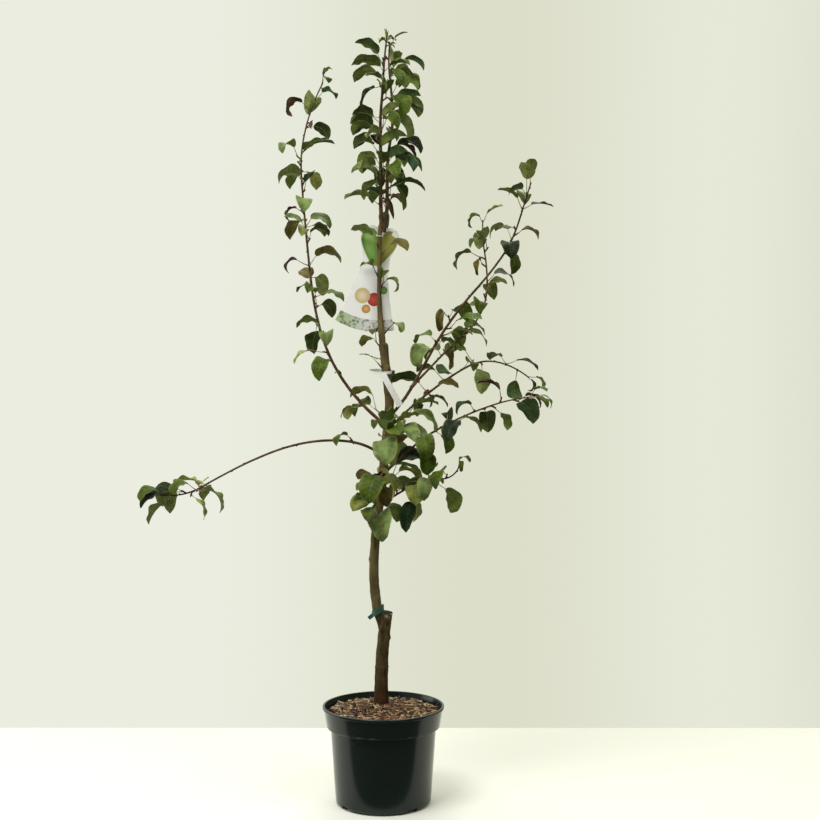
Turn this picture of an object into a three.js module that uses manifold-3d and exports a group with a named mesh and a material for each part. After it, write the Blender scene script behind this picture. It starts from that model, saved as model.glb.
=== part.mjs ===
import * as THREE from "three";
import { mergeVertices } from "three/addons/utils/BufferGeometryUtils.js";
import Module from "manifold-3d";

// A young pear tree in its nursery pot. Lengths are in millimetres and angles in degrees.
// +X is to the right in the front view, +Y to the back and +Z up. The origin is the middle
// of the pot's flat underside.

// Driving dimensions
const clear = 0.3; // gap between pieces that touch
const rim = {
  radius: 125, insideRadius: 120, bandTop: 121.5, bandRadius: 116.5, height: 200, band: 42, lip: 5,
  round: 1.5,
};
const potBody = { footRadius: 98, shoulderRadius: 108.5, corner: 6, wall: 2, floor: 2.5 };
const notch = { count: 4, width: 24, height: 5.5, depth: 16, firstBearing: 38.5 };
const mulch = { height: 191, edgeHeight: 188, flatRadius: 62, edgeRadius: 117 };
const treeFoot = [-5.4, 30, mulch.height + clear];

// A limb grows from its start through evenly spaced headings. An upright limb leans so many
// degrees to the right and to the back. A bough has a rise above level and a bearing, counted
// from +X towards +Y. The radii are evenly spaced along the limb too.
const trunkLimbs = {
  rootstock: {
    start: treeFoot, length: 197,
    right: [0, 1, 3, 6, 9], back: [0, 0, 0, 0, -1],
    radii: [16, 14, 13.6, 12.9, 12.4, 12.2],
  },
  scion: {
    start: [-4.4, 30, 355.5], length: 588,
    right: [-15, -9, -4, 2, 4, 7, 9, 5, 4, 8, 4, -8, -6, -2],
    back: [-1, -2, -2, -2, -2, -2, -1],
    radii: [11.2, 10, 9.5, 9.3, 9.3, 9.2, 9.1, 8.7],
  },
  leader: {
    start: [-0.7, 12.2, 925], length: 259.3,
    right: [-2, -6, -3, 0, 1, 0, 4], back: [-1, -1],
    radii: [6.4, 6.9, 5.2, 4.6, 4.4, 4.3, 4.3],
  },
};

const boughLimbs = {
  upper_left: {
    start: [1.2, 17.5, 778.2], length: 773, radii: [3.6, 3, 2.6, 2.2, 1.8, 1.5],
    rise: [38, 53, 71, 81, 82, 83, 77, 63], bearing: [173, 171, 163, 143, 134, 132, 26, 12],
  },
  lower_left: {
    start: [-0.9, 19.5, 712], length: 485, radii: [3.2, 2.6, 2.2, 1.8, 1.4],
    rise: [38, 8, -7, -19, -25, -28, 9], bearing: [204, 200, 200, 202, 203, 204, 202],
  },
  upper_right: {
    start: [13.6, 17, 794.7], length: 553, radii: [3.4, 2.9, 2.5, 2, 1.4],
    rise: [45, 59, 60, 53, 47, 53, 70, 70], bearing: [346, 340, 339, 342, 345, 342, 328, 325],
  },
  inner_right: {
    start: [62, 0, 858.7], length: 410, radii: [2.4, 2.1, 1.8, 1.4],
    rise: [45, 45, 39, 59, 79, 76, 79], bearing: [16, 16, 15, 22, 82, 129, 78],
  },
  middle_right: {
    start: [11.5, 17.8, 767.9], length: 395, radii: [2.8, 2.4, 2, 1.4],
    rise: [41, 35, 32, 25, -12, -34], bearing: [37, 33, 31, 28, 25, 29],
  },
  low_right: {
    start: [3.2, 20.5, 678.9], length: 359, radii: [2.7, 2.2, 1.8, 1.4],
    rise: [38, 41, 29, 23, 17, 5], bearing: [334, 332, 336, 337, 337, 338],
  },
  lowest_right: {
    start: [1, 22.4, 616.6], length: 190, radii: [2.4, 1.9, 1.4],
    rise: [29, 31, 18, 3, 58], bearing: [334, 333, 335, 336, 317],
  },
};

const leaderLimbs = {
  left_leader: {
    start: [-2.5, 8, 1184.6], length: 373, radii: [4.2, 3.8, 3.2, 2.6, 1.6],
    right: [-5, 0, 0, -1, 5, 3, 7], back: [0, 0],
  },
  right_leader: {
    start: [0.5, 8, 1176], length: 376, radii: [3.8, 3.6, 3, 2.4, 1.5],
    right: [15, -1, 2, 10, -3, -7, 6], back: [2, 1],
  },
};

// A shoot is a short side twig. It leaves its limb at a share of the limb's length and carries
// one rosette of leaves at its tip. Its vigour is the size of its leaves.
const shoots = {
  high_left: { on: "scion", at: 0.905, bearing: 190, rise: 45, reach: 18, leaves: 1, seed: 1686 },
  cut_left: { on: "scion", at: 0.98, bearing: 183, rise: 45, reach: 18, leaves: 2, seed: 1628 },
  cut_right: { on: "leader", at: 0.13, bearing: 348, rise: 45, reach: 18, leaves: 1, seed: 2767 },
  tag_right: { on: "leader", at: 0.5, bearing: 335, rise: 50, reach: 12, leaves: 2, seed: 324 },
  tag_left: { on: "leader", at: 0.59, bearing: 215, rise: 50, reach: 12, leaves: 2, seed: 858 },
  high_back: { on: "scion", at: 0.87, bearing: 80, rise: 35, reach: 20, leaves: 2, seed: 1285 },
  tag_front: { on: "leader", at: 0.81, bearing: 240, rise: 50, reach: 12, leaves: 1, seed: 2153 },
  tag_side: { on: "leader", at: 0.76, bearing: 350, rise: 45, reach: 12, leaves: 1, seed: 2917 },
  arm_under: { on: "upper_left", at: 0.075, bearing: 190, rise: -20, reach: 9, leaves: 2, seed: 285 },
  arm_side: { on: "upper_left", at: 0.145, bearing: 200, rise: 50, reach: 9, leaves: 1, seed: 260 },
  hook_side: { on: "lower_left", at: 0.15, bearing: 210, rise: 50, reach: 9, leaves: 2, seed: 658 },
  low_front: {
    on: "scion", at: 0.4, bearing: 270, rise: 10, reach: 20, leaves: 4, vigour: 1.7, seed: 465,
  },
  low_middle: {
    on: "scion", at: 0.53, bearing: 255, rise: 10, reach: 20, leaves: 3, vigour: 1.7, seed: 415,
  },
  low_corner: {
    on: "scion", at: 0.58, bearing: 300, rise: 30, reach: 14, leaves: 4, vigour: 1.5, seed: 437,
  },
  low_right: {
    on: "scion", at: 0.62, bearing: 320, rise: 50, reach: 14, leaves: 3, vigour: 1.7, seed: 721,
  },
  low_side: {
    on: "scion", at: 0.51, bearing: 0, rise: 30, reach: 14, leaves: 4, vigour: 1.7, seed: 668,
  },
  low_nook: {
    on: "scion", at: 0.43, bearing: 20, rise: 50, reach: 20, leaves: 3, vigour: 1.5, seed: 447,
  },
  low_left: {
    on: "scion", at: 0.44, bearing: 240, rise: 10, reach: 14, leaves: 4, vigour: 1.3, seed: 301,
  },
  low_foot: {
    on: "scion", at: 0.43, bearing: 300, rise: 10, reach: 14, leaves: 3, vigour: 1.5, seed: 619,
  },
  mid_corner: {
    on: "scion", at: 0.63, bearing: 320, rise: 50, reach: 20, leaves: 4, vigour: 1.7, seed: 649,
  },
  mid_left: {
    on: "scion", at: 0.74, bearing: 150, rise: 30, reach: 28, leaves: 4, vigour: 1.7, seed: 591,
  },
  mid_side: {
    on: "scion", at: 0.73, bearing: 20, rise: 10, reach: 28, leaves: 3, vigour: 1.7, seed: 345,
  },
  mid_front: {
    on: "scion", at: 0.66, bearing: 270, rise: 10, reach: 28, leaves: 3, vigour: 1.7, seed: 356,
  },
  back_low: {
    on: "scion", at: 0.47, bearing: 110, rise: 50, reach: 14, leaves: 4, vigour: 1.3, seed: 175,
  },
  back_mid: {
    on: "scion", at: 0.7, bearing: 90, rise: 10, reach: 20, leaves: 3, vigour: 1.5, seed: 666,
  },
  back_high: {
    on: "scion", at: 0.58, bearing: 70, rise: 30, reach: 20, leaves: 4, vigour: 1.3, seed: 512,
  },
};

// A crown is the leafy outer part of a limb, from a share of its length to its tip. Each
// leafy stretch is [from, to, buds, leaves to a bud, seed], with its buds evenly spread.
const crowns = {
  upper_left: {
    from: 0.19,
    leafy: [
      [0.22, 0.32, 3, 1, 47], [0.37, 0.48, 3, 2, 299], [0.55, 0.63, 3, 2, 2643],
      [0.69, 0.8, 4, 1, 898], [0.87, 0.95, 2, 2, 1206], [1, 1, 1, 4, 1856],
    ],
  },
  lower_left: {
    from: 0.78, leafy: [[0.8, 0.9, 3, 2, 1174], [0.95, 0.95, 1, 2, 2020], [1, 1, 1, 4, 711]],
  },
  upper_right: {
    from: 0.26,
    leafy: [[0.29, 0.42, 3, 2, 2180], [0.74, 0.83, 3, 1, 60], [0.9, 0.96, 2, 2, 1275], [1, 1, 1, 3, 1990]],
  },
  inner_right: {
    from: 0.16,
    leafy: [[0.2, 0.34, 2, 2, 955], [0.5, 0.68, 2, 2, 1476], [0.76, 0.92, 3, 1, 1908], [1, 1, 1, 3, 2587]],
  },
  middle_right: {
    from: 0.2, leafy: [[0.23, 0.3, 2, 2, 903], [0.43, 0.68, 3, 1, 1982], [0.84, 1, 2, 2, 1008]],
  },
  low_right: {
    from: 0.3,
    leafy: [[0.33, 0.47, 2, 2, 2082], [0.6, 0.82, 3, 1, 2704], [0.9, 0.9, 1, 2, 2786], [1, 1, 1, 3, 44]],
  },
  lowest_right: {
    from: 0.12,
    leafy: [[0.18, 0.36, 2, 3, 1786], [0.5, 0.65, 2, 2, 1574], [0.8, 0.8, 1, 1, 470], [1, 1, 1, 2, 205]],
  },
  left_leader: {
    from: 0,
    leafy: [
      [0.07, 0.2, 3, 1, 1656], [0.26, 0.38, 3, 2, 2382], [0.45, 0.58, 3, 2, 878],
      [0.68, 0.9, 4, 2, 1022], [1, 1, 1, 2, 303],
    ],
  },
  right_leader: {
    from: 0,
    leafy: [
      [0.1, 0.26, 3, 2, 1261], [0.33, 0.48, 3, 2, 2994], [0.55, 0.7, 3, 2, 2719],
      [0.77, 0.9, 3, 2, 1319], [1, 1, 1, 2, 2782],
    ],
  },
};

// Leaves: the seeded rule draws each size between two bounds.
const leafSize = {
  petiole: [12, 30], petioleRadius: 0.9, length: [44, 68], width: [0.27, 0.36], thickness: 1,
};
const leafPose = {
  spread: [30, 80], lift: 0.4, bend: [40, 140], curl: [-40, 40], roll: [-40, 40], fold: [6, 36],
};
const driedLeaf = { share: 0.1, bend: 1.5, width: 0.55, fold: 25 };
const youngLeaf = { spread: 0.5, length: 0.72 }; // at the tip of a limb
const bladeStations = [0.28, 0.64];
const spurTwig = { length: [3, 9], tilt: 50, radius: 1.3 };
const spiralTurn = 137.5; // from one bud to the next, round the limb
const rootDepth = 1.5; // how far a leaf's root is sunk into its twig
const leafTries = 10;
const leafClear = { limb: 2.5, leaf: 6, card: 4 };

// The hanging label, its loop, the strip label and the tie at the graft
const card = {
  top: [-3, 20, 1184], length: 205, thickness: 1.2, tilt: 10, headRadius: 21.5, headOffset: 19,
  cleftDrop: 10.7, neckHalf: 27, neckDrop: 66, waistDrop: 127, bottomHalf: 62, bottomSag: 12,
  slotWidth: 23, slotHeight: 5, slotDrop: 19,
};
const cardLoop = { height: 1166, half: [6.5, 10.5], frontRoom: 5.7, wire: 1.4 };
const strip = {
  top: [-1, 881], end: [35, 816], plane: -1.6, width: 15, thickness: 1.2,
  loopCentre: [-5.8, 15], loopHalf: [23, 16], loopHeight: 886, band: 6,
};
const tie = { height: 390, band: 11, thickness: 1.2, inside: 11.8, tail: [15, 6], tailFall: 25 };

const colours = {
  bark: 0x6b5f49, leaf: 0x4d6b2c, darkLeaf: 0x36522a, plastic: 0x1c2022, mulch: 0x8a6a4c,
  card: 0xe8e8de, strip: 0xf2f2ee, tie: 0x2f6d5a,
};
const sides = { trunk: 10, bough: 7, stem: 6, twig: 4, pot: 40, band: 20 };
const stationStep = 50; // between the rings of a bough or stem
const forkedFrom = { inner_right: "upper_right" };
const shootRadii = [1.7, 1.3];

const wasm = await Module();
wasm.setup();

// Small helpers
const radians = THREE.MathUtils.degToRad;
const degrees = THREE.MathUtils.radToDeg;
const mix = (low, high, share) => low + (high - low) * share;

// reads an evenly spaced list at a share of its length
function between(list, share) {
  const place = Math.min(Math.max(share, 0), 1) * (list.length - 1);
  const index = Math.min(Math.floor(place), list.length - 2);
  return mix(list[index], list[index + 1], place - index);
}

// a repeatable stream of numbers from 0 to 1
function numbersFrom(seed) {
  const modulus = 4294967296;
  let state = (seed * 2654435761) % modulus;
  const next = () => {
    state = (state * 1664525 + 1013904223) % modulus;
    return state / modulus;
  };
  next();
  return next;
}

function towards(rise, bearing) {
  const level = Math.cos(radians(rise));
  return new THREE.Vector3(
    level * Math.cos(radians(bearing)),
    level * Math.sin(radians(bearing)),
    Math.sin(radians(rise)),
  );
}

// Limbs
function headingOf(limb, share) {
  if (limb.rise) {
    return towards(between(limb.rise, share), between(limb.bearing, share));
  }
  const right = Math.tan(radians(between(limb.right, share)));
  const back = Math.tan(radians(between(limb.back, share)));
  return new THREE.Vector3(right, back, 1).normalize();
}

const traceStep = 10;

function traceLimb(limb) {
  const steps = Math.max(Math.round(limb.length / traceStep), 1);
  limb.line = [new THREE.Vector3(...limb.start)];
  for (let i = 0; i < steps; i += 1) {
    const heading = headingOf(limb, (i + 0.5) / steps);
    limb.line.push(limb.line[i].clone().addScaledVector(heading, limb.length / steps));
  }
}

function pointOn(limb, share) {
  const place = Math.min(Math.max(share, 0), 1) * (limb.line.length - 1);
  const index = Math.min(Math.floor(place), limb.line.length - 2);
  return limb.line[index].clone().lerp(limb.line[index + 1], place - index);
}

// Solids from rings of points: flat ends, or a single point at the tip. The faces' diagonals
// alternate, so that the two sides of a thin blade bend along the same lines.
function sweptSolid(rings, tip) {
  const positions = [];
  const faces = [];
  const count = rings[0].length;
  for (const ring of rings) {
    for (const point of ring) {
      positions.push(point.x, point.y, point.z);
    }
  }
  for (let k = 0; k + 1 < rings.length; k += 1) {
    for (let i = 0; i < count; i += 1) {
      const a = k * count + i;
      const b = k * count + ((i + 1) % count);
      if (i % 2) {
        faces.push(a, b, a + count, b, b + count, a + count);
      } else {
        faces.push(a, b, b + count, a, b + count, a + count);
      }
    }
  }
  const last = (rings.length - 1) * count;
  for (let i = 1; i + 1 < count; i += 1) {
    faces.push(0, i + 1, i);
    if (!tip) {
      faces.push(last, last + i, last + i + 1);
    }
  }
  if (tip) {
    positions.push(tip.x, tip.y, tip.z);
    for (let i = 0; i < count; i += 1) {
      faces.push(last + i, last + ((i + 1) % count), last + count);
    }
  }
  return new wasm.Manifold(new wasm.Mesh({
    numProp: 3,
    vertProperties: Float32Array.from(positions),
    triVerts: Uint32Array.from(faces),
  }));
}

// a round tube through the stations of a limb, its frame carried along without twist
function limbSolid(limb, from, to, count, sideCount, grow = 0) {
  const rings = [];
  let across = null;
  for (let k = 0; k < count; k += 1) {
    const share = mix(from, to, k / (count - 1));
    const centre = pointOn(limb, share);
    const heading = headingOf(limb, share);
    if (!across) {
      const reference = Math.abs(heading.z) > 0.9 ? [0, 1, 0] : [0, 0, 1];
      across = new THREE.Vector3(...reference).cross(heading);
    }
    across.addScaledVector(heading, -across.dot(heading)).normalize();
    const third = heading.clone().cross(across);
    const radius = between(limb.radii, share) + grow / Math.cos(Math.PI / sideCount);
    const ring = [];
    for (let i = 0; i < sideCount; i += 1) {
      const turn = (2 * Math.PI * i) / sideCount;
      ring.push(centre.clone()
        .addScaledVector(across, radius * Math.cos(turn))
        .addScaledVector(third, radius * Math.sin(turn)));
    }
    rings.push(ring);
  }
  return sweptSolid(rings);
}

function solidFromGeometry(geometry) {
  geometry.deleteAttribute("normal");
  geometry.deleteAttribute("uv");
  const merged = mergeVertices(geometry, 1e-4);
  return new wasm.Manifold(new wasm.Mesh({
    numProp: 3,
    vertProperties: Float32Array.from(merged.attributes.position.array),
    triVerts: Uint32Array.from(merged.index.array),
  }));
}

function joined(solids) {
  return solids.reduce((whole, solid) => whole.add(solid));
}

// the largest piece, where a cut leaves scraps
function largest(solid) {
  return solid.decompose().reduce((best, piece) => (
    piece.volume() > best.volume() ? piece : best
  ));
}

const tree = new THREE.Group();

function addPiece(name, solid, colour, roughness, metalness = 0) {
  const mesh = solid.getMesh();
  const geometry = new THREE.BufferGeometry();
  geometry.setAttribute("position", new THREE.BufferAttribute(mesh.vertProperties, 3));
  geometry.setIndex(new THREE.BufferAttribute(mesh.triVerts, 1));
  geometry.computeVertexNormals();
  const material = new THREE.MeshStandardMaterial({ color: colour, roughness, metalness });
  const piece = new THREE.Mesh(geometry, material);
  piece.name = name;
  tree.add(piece);
}

// Pot: a turned wall with a lip and a deep flared rim band, and four drain notches in its foot
const bandFoot = rim.height - rim.band;

// the inside of the pot, taken in by a gap, from its middle up to the shoulder
function insideOf(gap) {
  const taken = potBody.wall + gap / Math.cos(Math.PI / sides.pot);
  const floor = potBody.floor + gap;
  return [
    [0, floor], [potBody.footRadius - taken - potBody.corner, floor],
    [potBody.footRadius - taken, floor + potBody.corner],
    [potBody.shoulderRadius - taken, bandFoot],
    [rim.bandRadius - taken, bandFoot + potBody.wall],
  ];
}

function turned(profile) {
  const points = profile.map(([radius, height]) => new THREE.Vector2(radius, height));
  return solidFromGeometry(new THREE.LatheGeometry(points, sides.pot).rotateX(Math.PI / 2));
}

function makePot() {
  const lipFoot = rim.height - rim.lip;
  const wall = turned([
    [0, 0], [potBody.footRadius - potBody.corner, 0], [potBody.footRadius, potBody.corner],
    [potBody.shoulderRadius, bandFoot], [rim.bandRadius, bandFoot], [rim.bandTop, lipFoot],
    [rim.radius, lipFoot + rim.round], [rim.radius, rim.height - rim.round],
    [rim.radius - rim.round, rim.height], [rim.insideRadius, rim.height],
    ...insideOf(0).reverse(),
  ]);
  const cutters = Array.from({ length: notch.count }, (_, k) => {
    const cutter = new THREE.BoxGeometry(notch.depth, notch.width, 2 * notch.height);
    cutter.translate(potBody.footRadius, 0, 0);
    cutter.rotateZ(radians(notch.firstBearing + (360 * k) / notch.count));
    return solidFromGeometry(cutter);
  });
  addPiece("pot", wall.subtract(joined(cutters)), colours.plastic, 0.45);
}

function makeMulch() {
  const fill = turned([
    ...insideOf(clear), [mulch.edgeRadius, mulch.edgeHeight],
    [mulch.flatRadius, mulch.height], [0, mulch.height],
  ]);
  addPiece("bark_mulch", fill, colours.mulch, 0.9);
}

// Trunk: rootstock with its cut stub, the scion grafted to its side, and the thin leader that
// goes on beside the scion's heading cut
const trunkParts = { rootstock: 7, scion: 15, leader: 9 };

function trunkSolid(grow) {
  const parts = Object.entries(trunkParts).map(([name, stations]) => (
    limbSolid(trunkLimbs[name], 0, 1, stations, sides.trunk, grow)
  ));
  return joined(parts);
}

// Every limb is traced first, so that the leaves know what to keep clear of
const limbs = { ...trunkLimbs, ...boughLimbs, ...leaderLimbs };
Object.values(limbs).forEach(traceLimb);

for (const [name, shoot] of Object.entries(shoots)) {
  const parent = limbs[shoot.on];
  shoot.limb = {
    start: pointOn(parent, shoot.at).toArray(), radii: shootRadii,
    length: shoot.reach + between(parent.radii, shoot.at),
    rise: [shoot.rise, shoot.rise + 8], bearing: [shoot.bearing, shoot.bearing],
  };
  traceLimb(shoot.limb);
}

const stripEnds = [strip.top, strip.end].map(([x, z]) => new THREE.Vector3(x, strip.plane, z));
const limbRooms = [
  ...Object.values(limbs).map(({ line, radii }) => ({ line, radius: radii[1] })),
  { line: stripEnds, radius: strip.width / 2 },
];

// Leaves
const drawn = ([low, high], share) => mix(low, high, share);

// two directions square to a heading, the first one level
function frameOf(heading) {
  const level = new THREE.Vector3(-heading.y, heading.x, 0);
  if (level.length() < 0.05) {
    level.set(0, 1, 0);
  }
  level.normalize();
  const third = heading.clone().cross(level).normalize();
  return [third.clone().cross(heading).normalize(), third];
}

// a direction tilted away from a heading, turned so far round it
function outwards(heading, turn, tilt) {
  const [across, third] = frameOf(heading);
  return heading.clone().multiplyScalar(Math.cos(radians(tilt)))
    .addScaledVector(across, Math.sin(radians(tilt)) * Math.cos(radians(turn)))
    .addScaledVector(third, Math.sin(radians(tilt)) * Math.sin(radians(turn)));
}

// A leaf: a straight petiole out of its bud, then a blade whose midrib bends down as it goes,
// folded up along the midrib into a shallow V. Every draw is made in this order.
const bladeSteps = 12;

function drawLeaf(root, heading, turn, young, vigour, seed) {
  const next = numbersFrom(seed);
  const spread = drawn(leafPose.spread, next()) * (young ? youngLeaf.spread : 1);
  const direction = outwards(heading, turn + mix(-25, 25, next()), spread);
  direction.z += leafPose.lift;
  direction.normalize();
  const size = vigour * (young ? youngLeaf.length : 1);
  const petiole = drawn(leafSize.petiole, next()) * size;
  const length = drawn(leafSize.length, next()) * size;
  const width = drawn(leafSize.width, next()) * length;
  const bend = drawn(leafPose.bend, next());
  const curl = drawn(leafPose.curl, next());
  const roll = drawn(leafPose.roll, next());
  const fold = drawn(leafPose.fold, next());
  const dried = next() < driedLeaf.share;
  const leaf = {
    root, length, roll, curl, dried,
    base: root.clone().addScaledVector(direction, petiole),
    rise: degrees(Math.asin(direction.z)) * 0.7,
    bearing: degrees(Math.atan2(direction.y, direction.x)),
    width: width * (dried ? driedLeaf.width : 1),
    fold: fold + (dried ? driedLeaf.fold : 0),
    bend: bend * (dried ? driedLeaf.bend : 1),
  };
  leaf.midrib = [leaf.base];
  for (let i = 0; i < bladeSteps; i += 1) {
    const step = bladeHeading(leaf, (i + 0.5) / bladeSteps);
    leaf.midrib.push(leaf.midrib[i].clone().addScaledVector(step, length / bladeSteps));
  }
  return leaf;
}

function bladeHeading(leaf, share) {
  return towards(leaf.rise - leaf.bend * share, leaf.bearing + leaf.curl * share);
}

// the blade at a share of its length: its middle, the way to its left edge and its face's way up
function bladeFrame(leaf, share) {
  const heading = bladeHeading(leaf, share);
  const bearing = radians(leaf.bearing + leaf.curl * share);
  const level = new THREE.Vector3(-Math.sin(bearing), Math.cos(bearing), 0);
  const face = heading.clone().cross(level);
  const roll = radians(leaf.roll);
  const left = level.multiplyScalar(Math.cos(roll)).addScaledVector(face, Math.sin(roll));
  const place = share * bladeSteps;
  const index = Math.min(Math.floor(place), bladeSteps - 1);
  const middle = leaf.midrib[index].clone().lerp(leaf.midrib[index + 1], place - index);
  return { middle, left, up: heading.cross(left) };
}

// a point so far across the blade, from -1 at its right edge to 1 at its left
function acrossBlade(leaf, share, across, frame) {
  const half = leaf.width * Math.sin(Math.PI * share ** 0.7);
  const fold = radians(leaf.fold);
  return frame.middle.clone()
    .addScaledVector(frame.left, across * half * Math.cos(fold))
    .addScaledVector(frame.up, Math.abs(across) * half * Math.sin(fold));
}

// four points across the blade: left edge, face, right edge and back
function bladeRing(leaf, share) {
  const frame = bladeFrame(leaf, share);
  const offFace = (distance) => frame.middle.clone().addScaledVector(frame.up, distance);
  return [
    acrossBlade(leaf, share, 1, frame), offFace(leafSize.thickness / 2),
    acrossBlade(leaf, share, -1, frame), offFace(-leafSize.thickness / 2),
  ];
}

// the petiole's square section, the same at its root and at the blade
function petioleRing(leaf, centre) {
  const { left, up } = bladeFrame(leaf, 0);
  return [[left, 1], [up, 1], [left, -1], [up, -1]].map(([way, sign]) => (
    centre.clone().addScaledVector(way, sign * leafSize.petioleRadius)
  ));
}

function leafSolid(leaf) {
  const rings = [
    petioleRing(leaf, leaf.root), petioleRing(leaf, leaf.base),
    ...bladeStations.map((share) => bladeRing(leaf, share)),
  ];
  return sweptSolid(rings, leaf.midrib[bladeSteps]);
}

// the points that are tested for room, over the whole blade
const testStations = [0.08, 0.22, 0.37, 0.52, 0.67, 0.82];
const testAcross = [-1, -0.5, 0, 0.5, 1];

function testPoints(leaf) {
  const alongPetiole = (share) => leaf.root.clone().lerp(leaf.base, share);
  const points = [alongPetiole(0.4), alongPetiole(0.7), leaf.base, leaf.midrib[bladeSteps]];
  for (const share of testStations) {
    const frame = bladeFrame(leaf, share);
    for (const across of testAcross) {
      points.push(acrossBlade(leaf, share, across, frame));
    }
  }
  return points;
}

const segment = new THREE.Line3();
const nearest = new THREE.Vector3();

function distanceToLine(point, line) {
  let best = Infinity;
  for (let i = 0; i + 1 < line.length; i += 1) {
    segment.set(line[i], line[i + 1]);
    segment.closestPointToPoint(point, true, nearest);
    best = Math.min(best, nearest.distanceTo(point));
  }
  return best;
}

// the place of a point in the label's own frame: across it, down it and behind its front face
function onCard(point) {
  const tilt = radians(card.tilt);
  const offset = point.clone().sub(new THREE.Vector3(...card.top));
  return [
    offset.x * Math.cos(tilt) - offset.z * Math.sin(tilt),
    -offset.x * Math.sin(tilt) - offset.z * Math.cos(tilt),
    offset.y,
  ];
}

// a leaf stays wholly in front of the label or wholly behind it, where it comes near
function clearOfCard(points) {
  const near = points.map(onCard).filter(([across, down]) => {
    const half = mix(card.headOffset + card.headRadius, card.bottomHalf, down / card.length);
    return Math.abs(across) < half + leafClear.card
      && down > -leafClear.card
      && down < card.length + card.bottomSag + leafClear.card;
  });
  return near.every(([, , behind]) => behind < -leafClear.card)
    || near.every(([, , behind]) => behind > card.thickness + leafClear.card);
}

// A leaf has room where it is clear of every limb, of the label and of the leaves already
// grown. Leaves whose middles are further apart than two blades can't meet.
const takenRooms = [];
const meetingReach = 130;

function clearOfLimbs(points, own) {
  return limbRooms.every(({ line, radius }) => (
    line === own
    || points.every((point) => distanceToLine(point, line) > radius + leafClear.limb)
  ));
}

function hasRoom(points, middle) {
  return clearOfLimbs(points) && clearOfCard(points) && takenRooms.every((taken) => (
    taken.middle.distanceTo(middle) > meetingReach
    || points.every((point) => (
      taken.points.every((other) => other.distanceTo(point) > leafClear.leaf)
    ))
  ));
}

function rosette(root, heading, count, turn, young, vigour, seed) {
  const leaves = [];
  for (let k = 0; k < count; k += 1) {
    for (let attempt = 0; attempt < leafTries; attempt += 1) {
      const around = turn + (360 * k) / count + 47 * attempt;
      const leafSeed = seed + k * leafTries + attempt;
      const leaf = drawLeaf(root, heading, around, young, vigour, leafSeed);
      const points = testPoints(leaf);
      const middle = leaf.midrib[bladeSteps / 2];
      if (hasRoom(points, middle)) {
        takenRooms.push({ points, middle });
        leaves.push(leaf);
        break;
      }
    }
  }
  return leaves;
}

// A stretch of buds on a limb. Each bud is a short spur twig with a rosette of leaves; the
// limb's own tip carries its rosette with no twig.
function growStretch(limb, [from, to, count, leafCount, seed], vigour = 1) {
  const grown = { twigs: [], leaves: [] };
  const next = numbersFrom(seed);
  const firstTurn = 360 * next();
  for (let i = 0; i < count; i += 1) {
    const share = count > 1 ? mix(from, to, i / (count - 1)) : from;
    const young = share > 0.99;
    const heading = headingOf(limb, share);
    const turn = firstTurn + spiralTurn * i;
    const twig = young ? heading : outwards(heading, turn, spurTwig.tilt);
    const reach = young ? 0 : drawn(spurTwig.length, next()) + between(limb.radii, share);
    const foot = pointOn(limb, share);
    const end = foot.clone().addScaledVector(twig, reach);
    if (!young && !clearOfLimbs([end], limb.line)) {
      continue;
    }
    if (!young) {
      grown.twigs.push([foot, end]);
    }
    const root = end.clone().addScaledVector(twig, -rootDepth);
    const firstSeed = seed * 1000 + i * 100;
    grown.leaves.push(...rosette(root, twig, leafCount, turn, young, vigour, firstSeed));
  }
  return grown;
}

function twigSolid([start, end]) {
  const [across, third] = frameOf(end.clone().sub(start).normalize());
  const ringAt = (centre) => [[across, 1], [third, 1], [across, -1], [third, -1]]
    .map(([way, sign]) => centre.clone().addScaledVector(way, sign * spurTwig.radius));
  return sweptSolid([ringAt(start), ringAt(end)]);
}

function crownSolid(limb, stretches, from, stations, sideCount, vigour) {
  const solids = [limbSolid(limb, from, 1, stations, sideCount)];
  for (const stretch of stretches) {
    const { twigs, leaves } = growStretch(limb, stretch, vigour);
    solids.push(...twigs.map(twigSolid), ...leaves.map(leafSolid));
  }
  return joined(solids);
}

// Label: a card with a two-lobed head that widens to an arched foot, hung behind the trunk by
// a loop through a slot in its head
function cardOutline() {
  const { headRadius, headOffset, neckHalf, neckDrop, waistDrop, bottomHalf, length } = card;
  const edge = headOffset + headRadius;
  const shape = new THREE.Shape();
  shape.moveTo(0, -card.cleftDrop);
  shape.absarc(headOffset, -headRadius, headRadius, Math.PI * 0.75, -Math.PI * 0.1, true);
  shape.quadraticCurveTo(edge, -headRadius * 1.5, neckHalf, -neckDrop);
  shape.quadraticCurveTo(neckHalf, -waistDrop, bottomHalf, -length);
  shape.quadraticCurveTo(0, -length - 2 * card.bottomSag, -bottomHalf, -length);
  shape.quadraticCurveTo(-neckHalf, -waistDrop, -neckHalf, -neckDrop);
  shape.quadraticCurveTo(-edge, -headRadius * 1.5, -edge + 1, -headRadius * 1.3);
  shape.absarc(-headOffset, -headRadius, headRadius, Math.PI * 1.1, Math.PI * 0.25, true);
  shape.closePath();
  return shape;
}

function makeCard() {
  const settings = { depth: card.thickness, bevelEnabled: false, curveSegments: 8 };
  const plate = new THREE.ExtrudeGeometry(cardOutline(), settings);
  plate.rotateX(Math.PI / 2);
  plate.translate(0, card.thickness, 0);
  const slot = new THREE.BoxGeometry(card.slotWidth, 10, card.slotHeight);
  slot.translate(0, 0, -card.slotDrop);
  const solid = solidFromGeometry(plate).subtract(solidFromGeometry(slot));
  addPiece("label_card", solid.rotate([0, card.tilt, 0]).translate(card.top), colours.card, 0.6);
}

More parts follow.
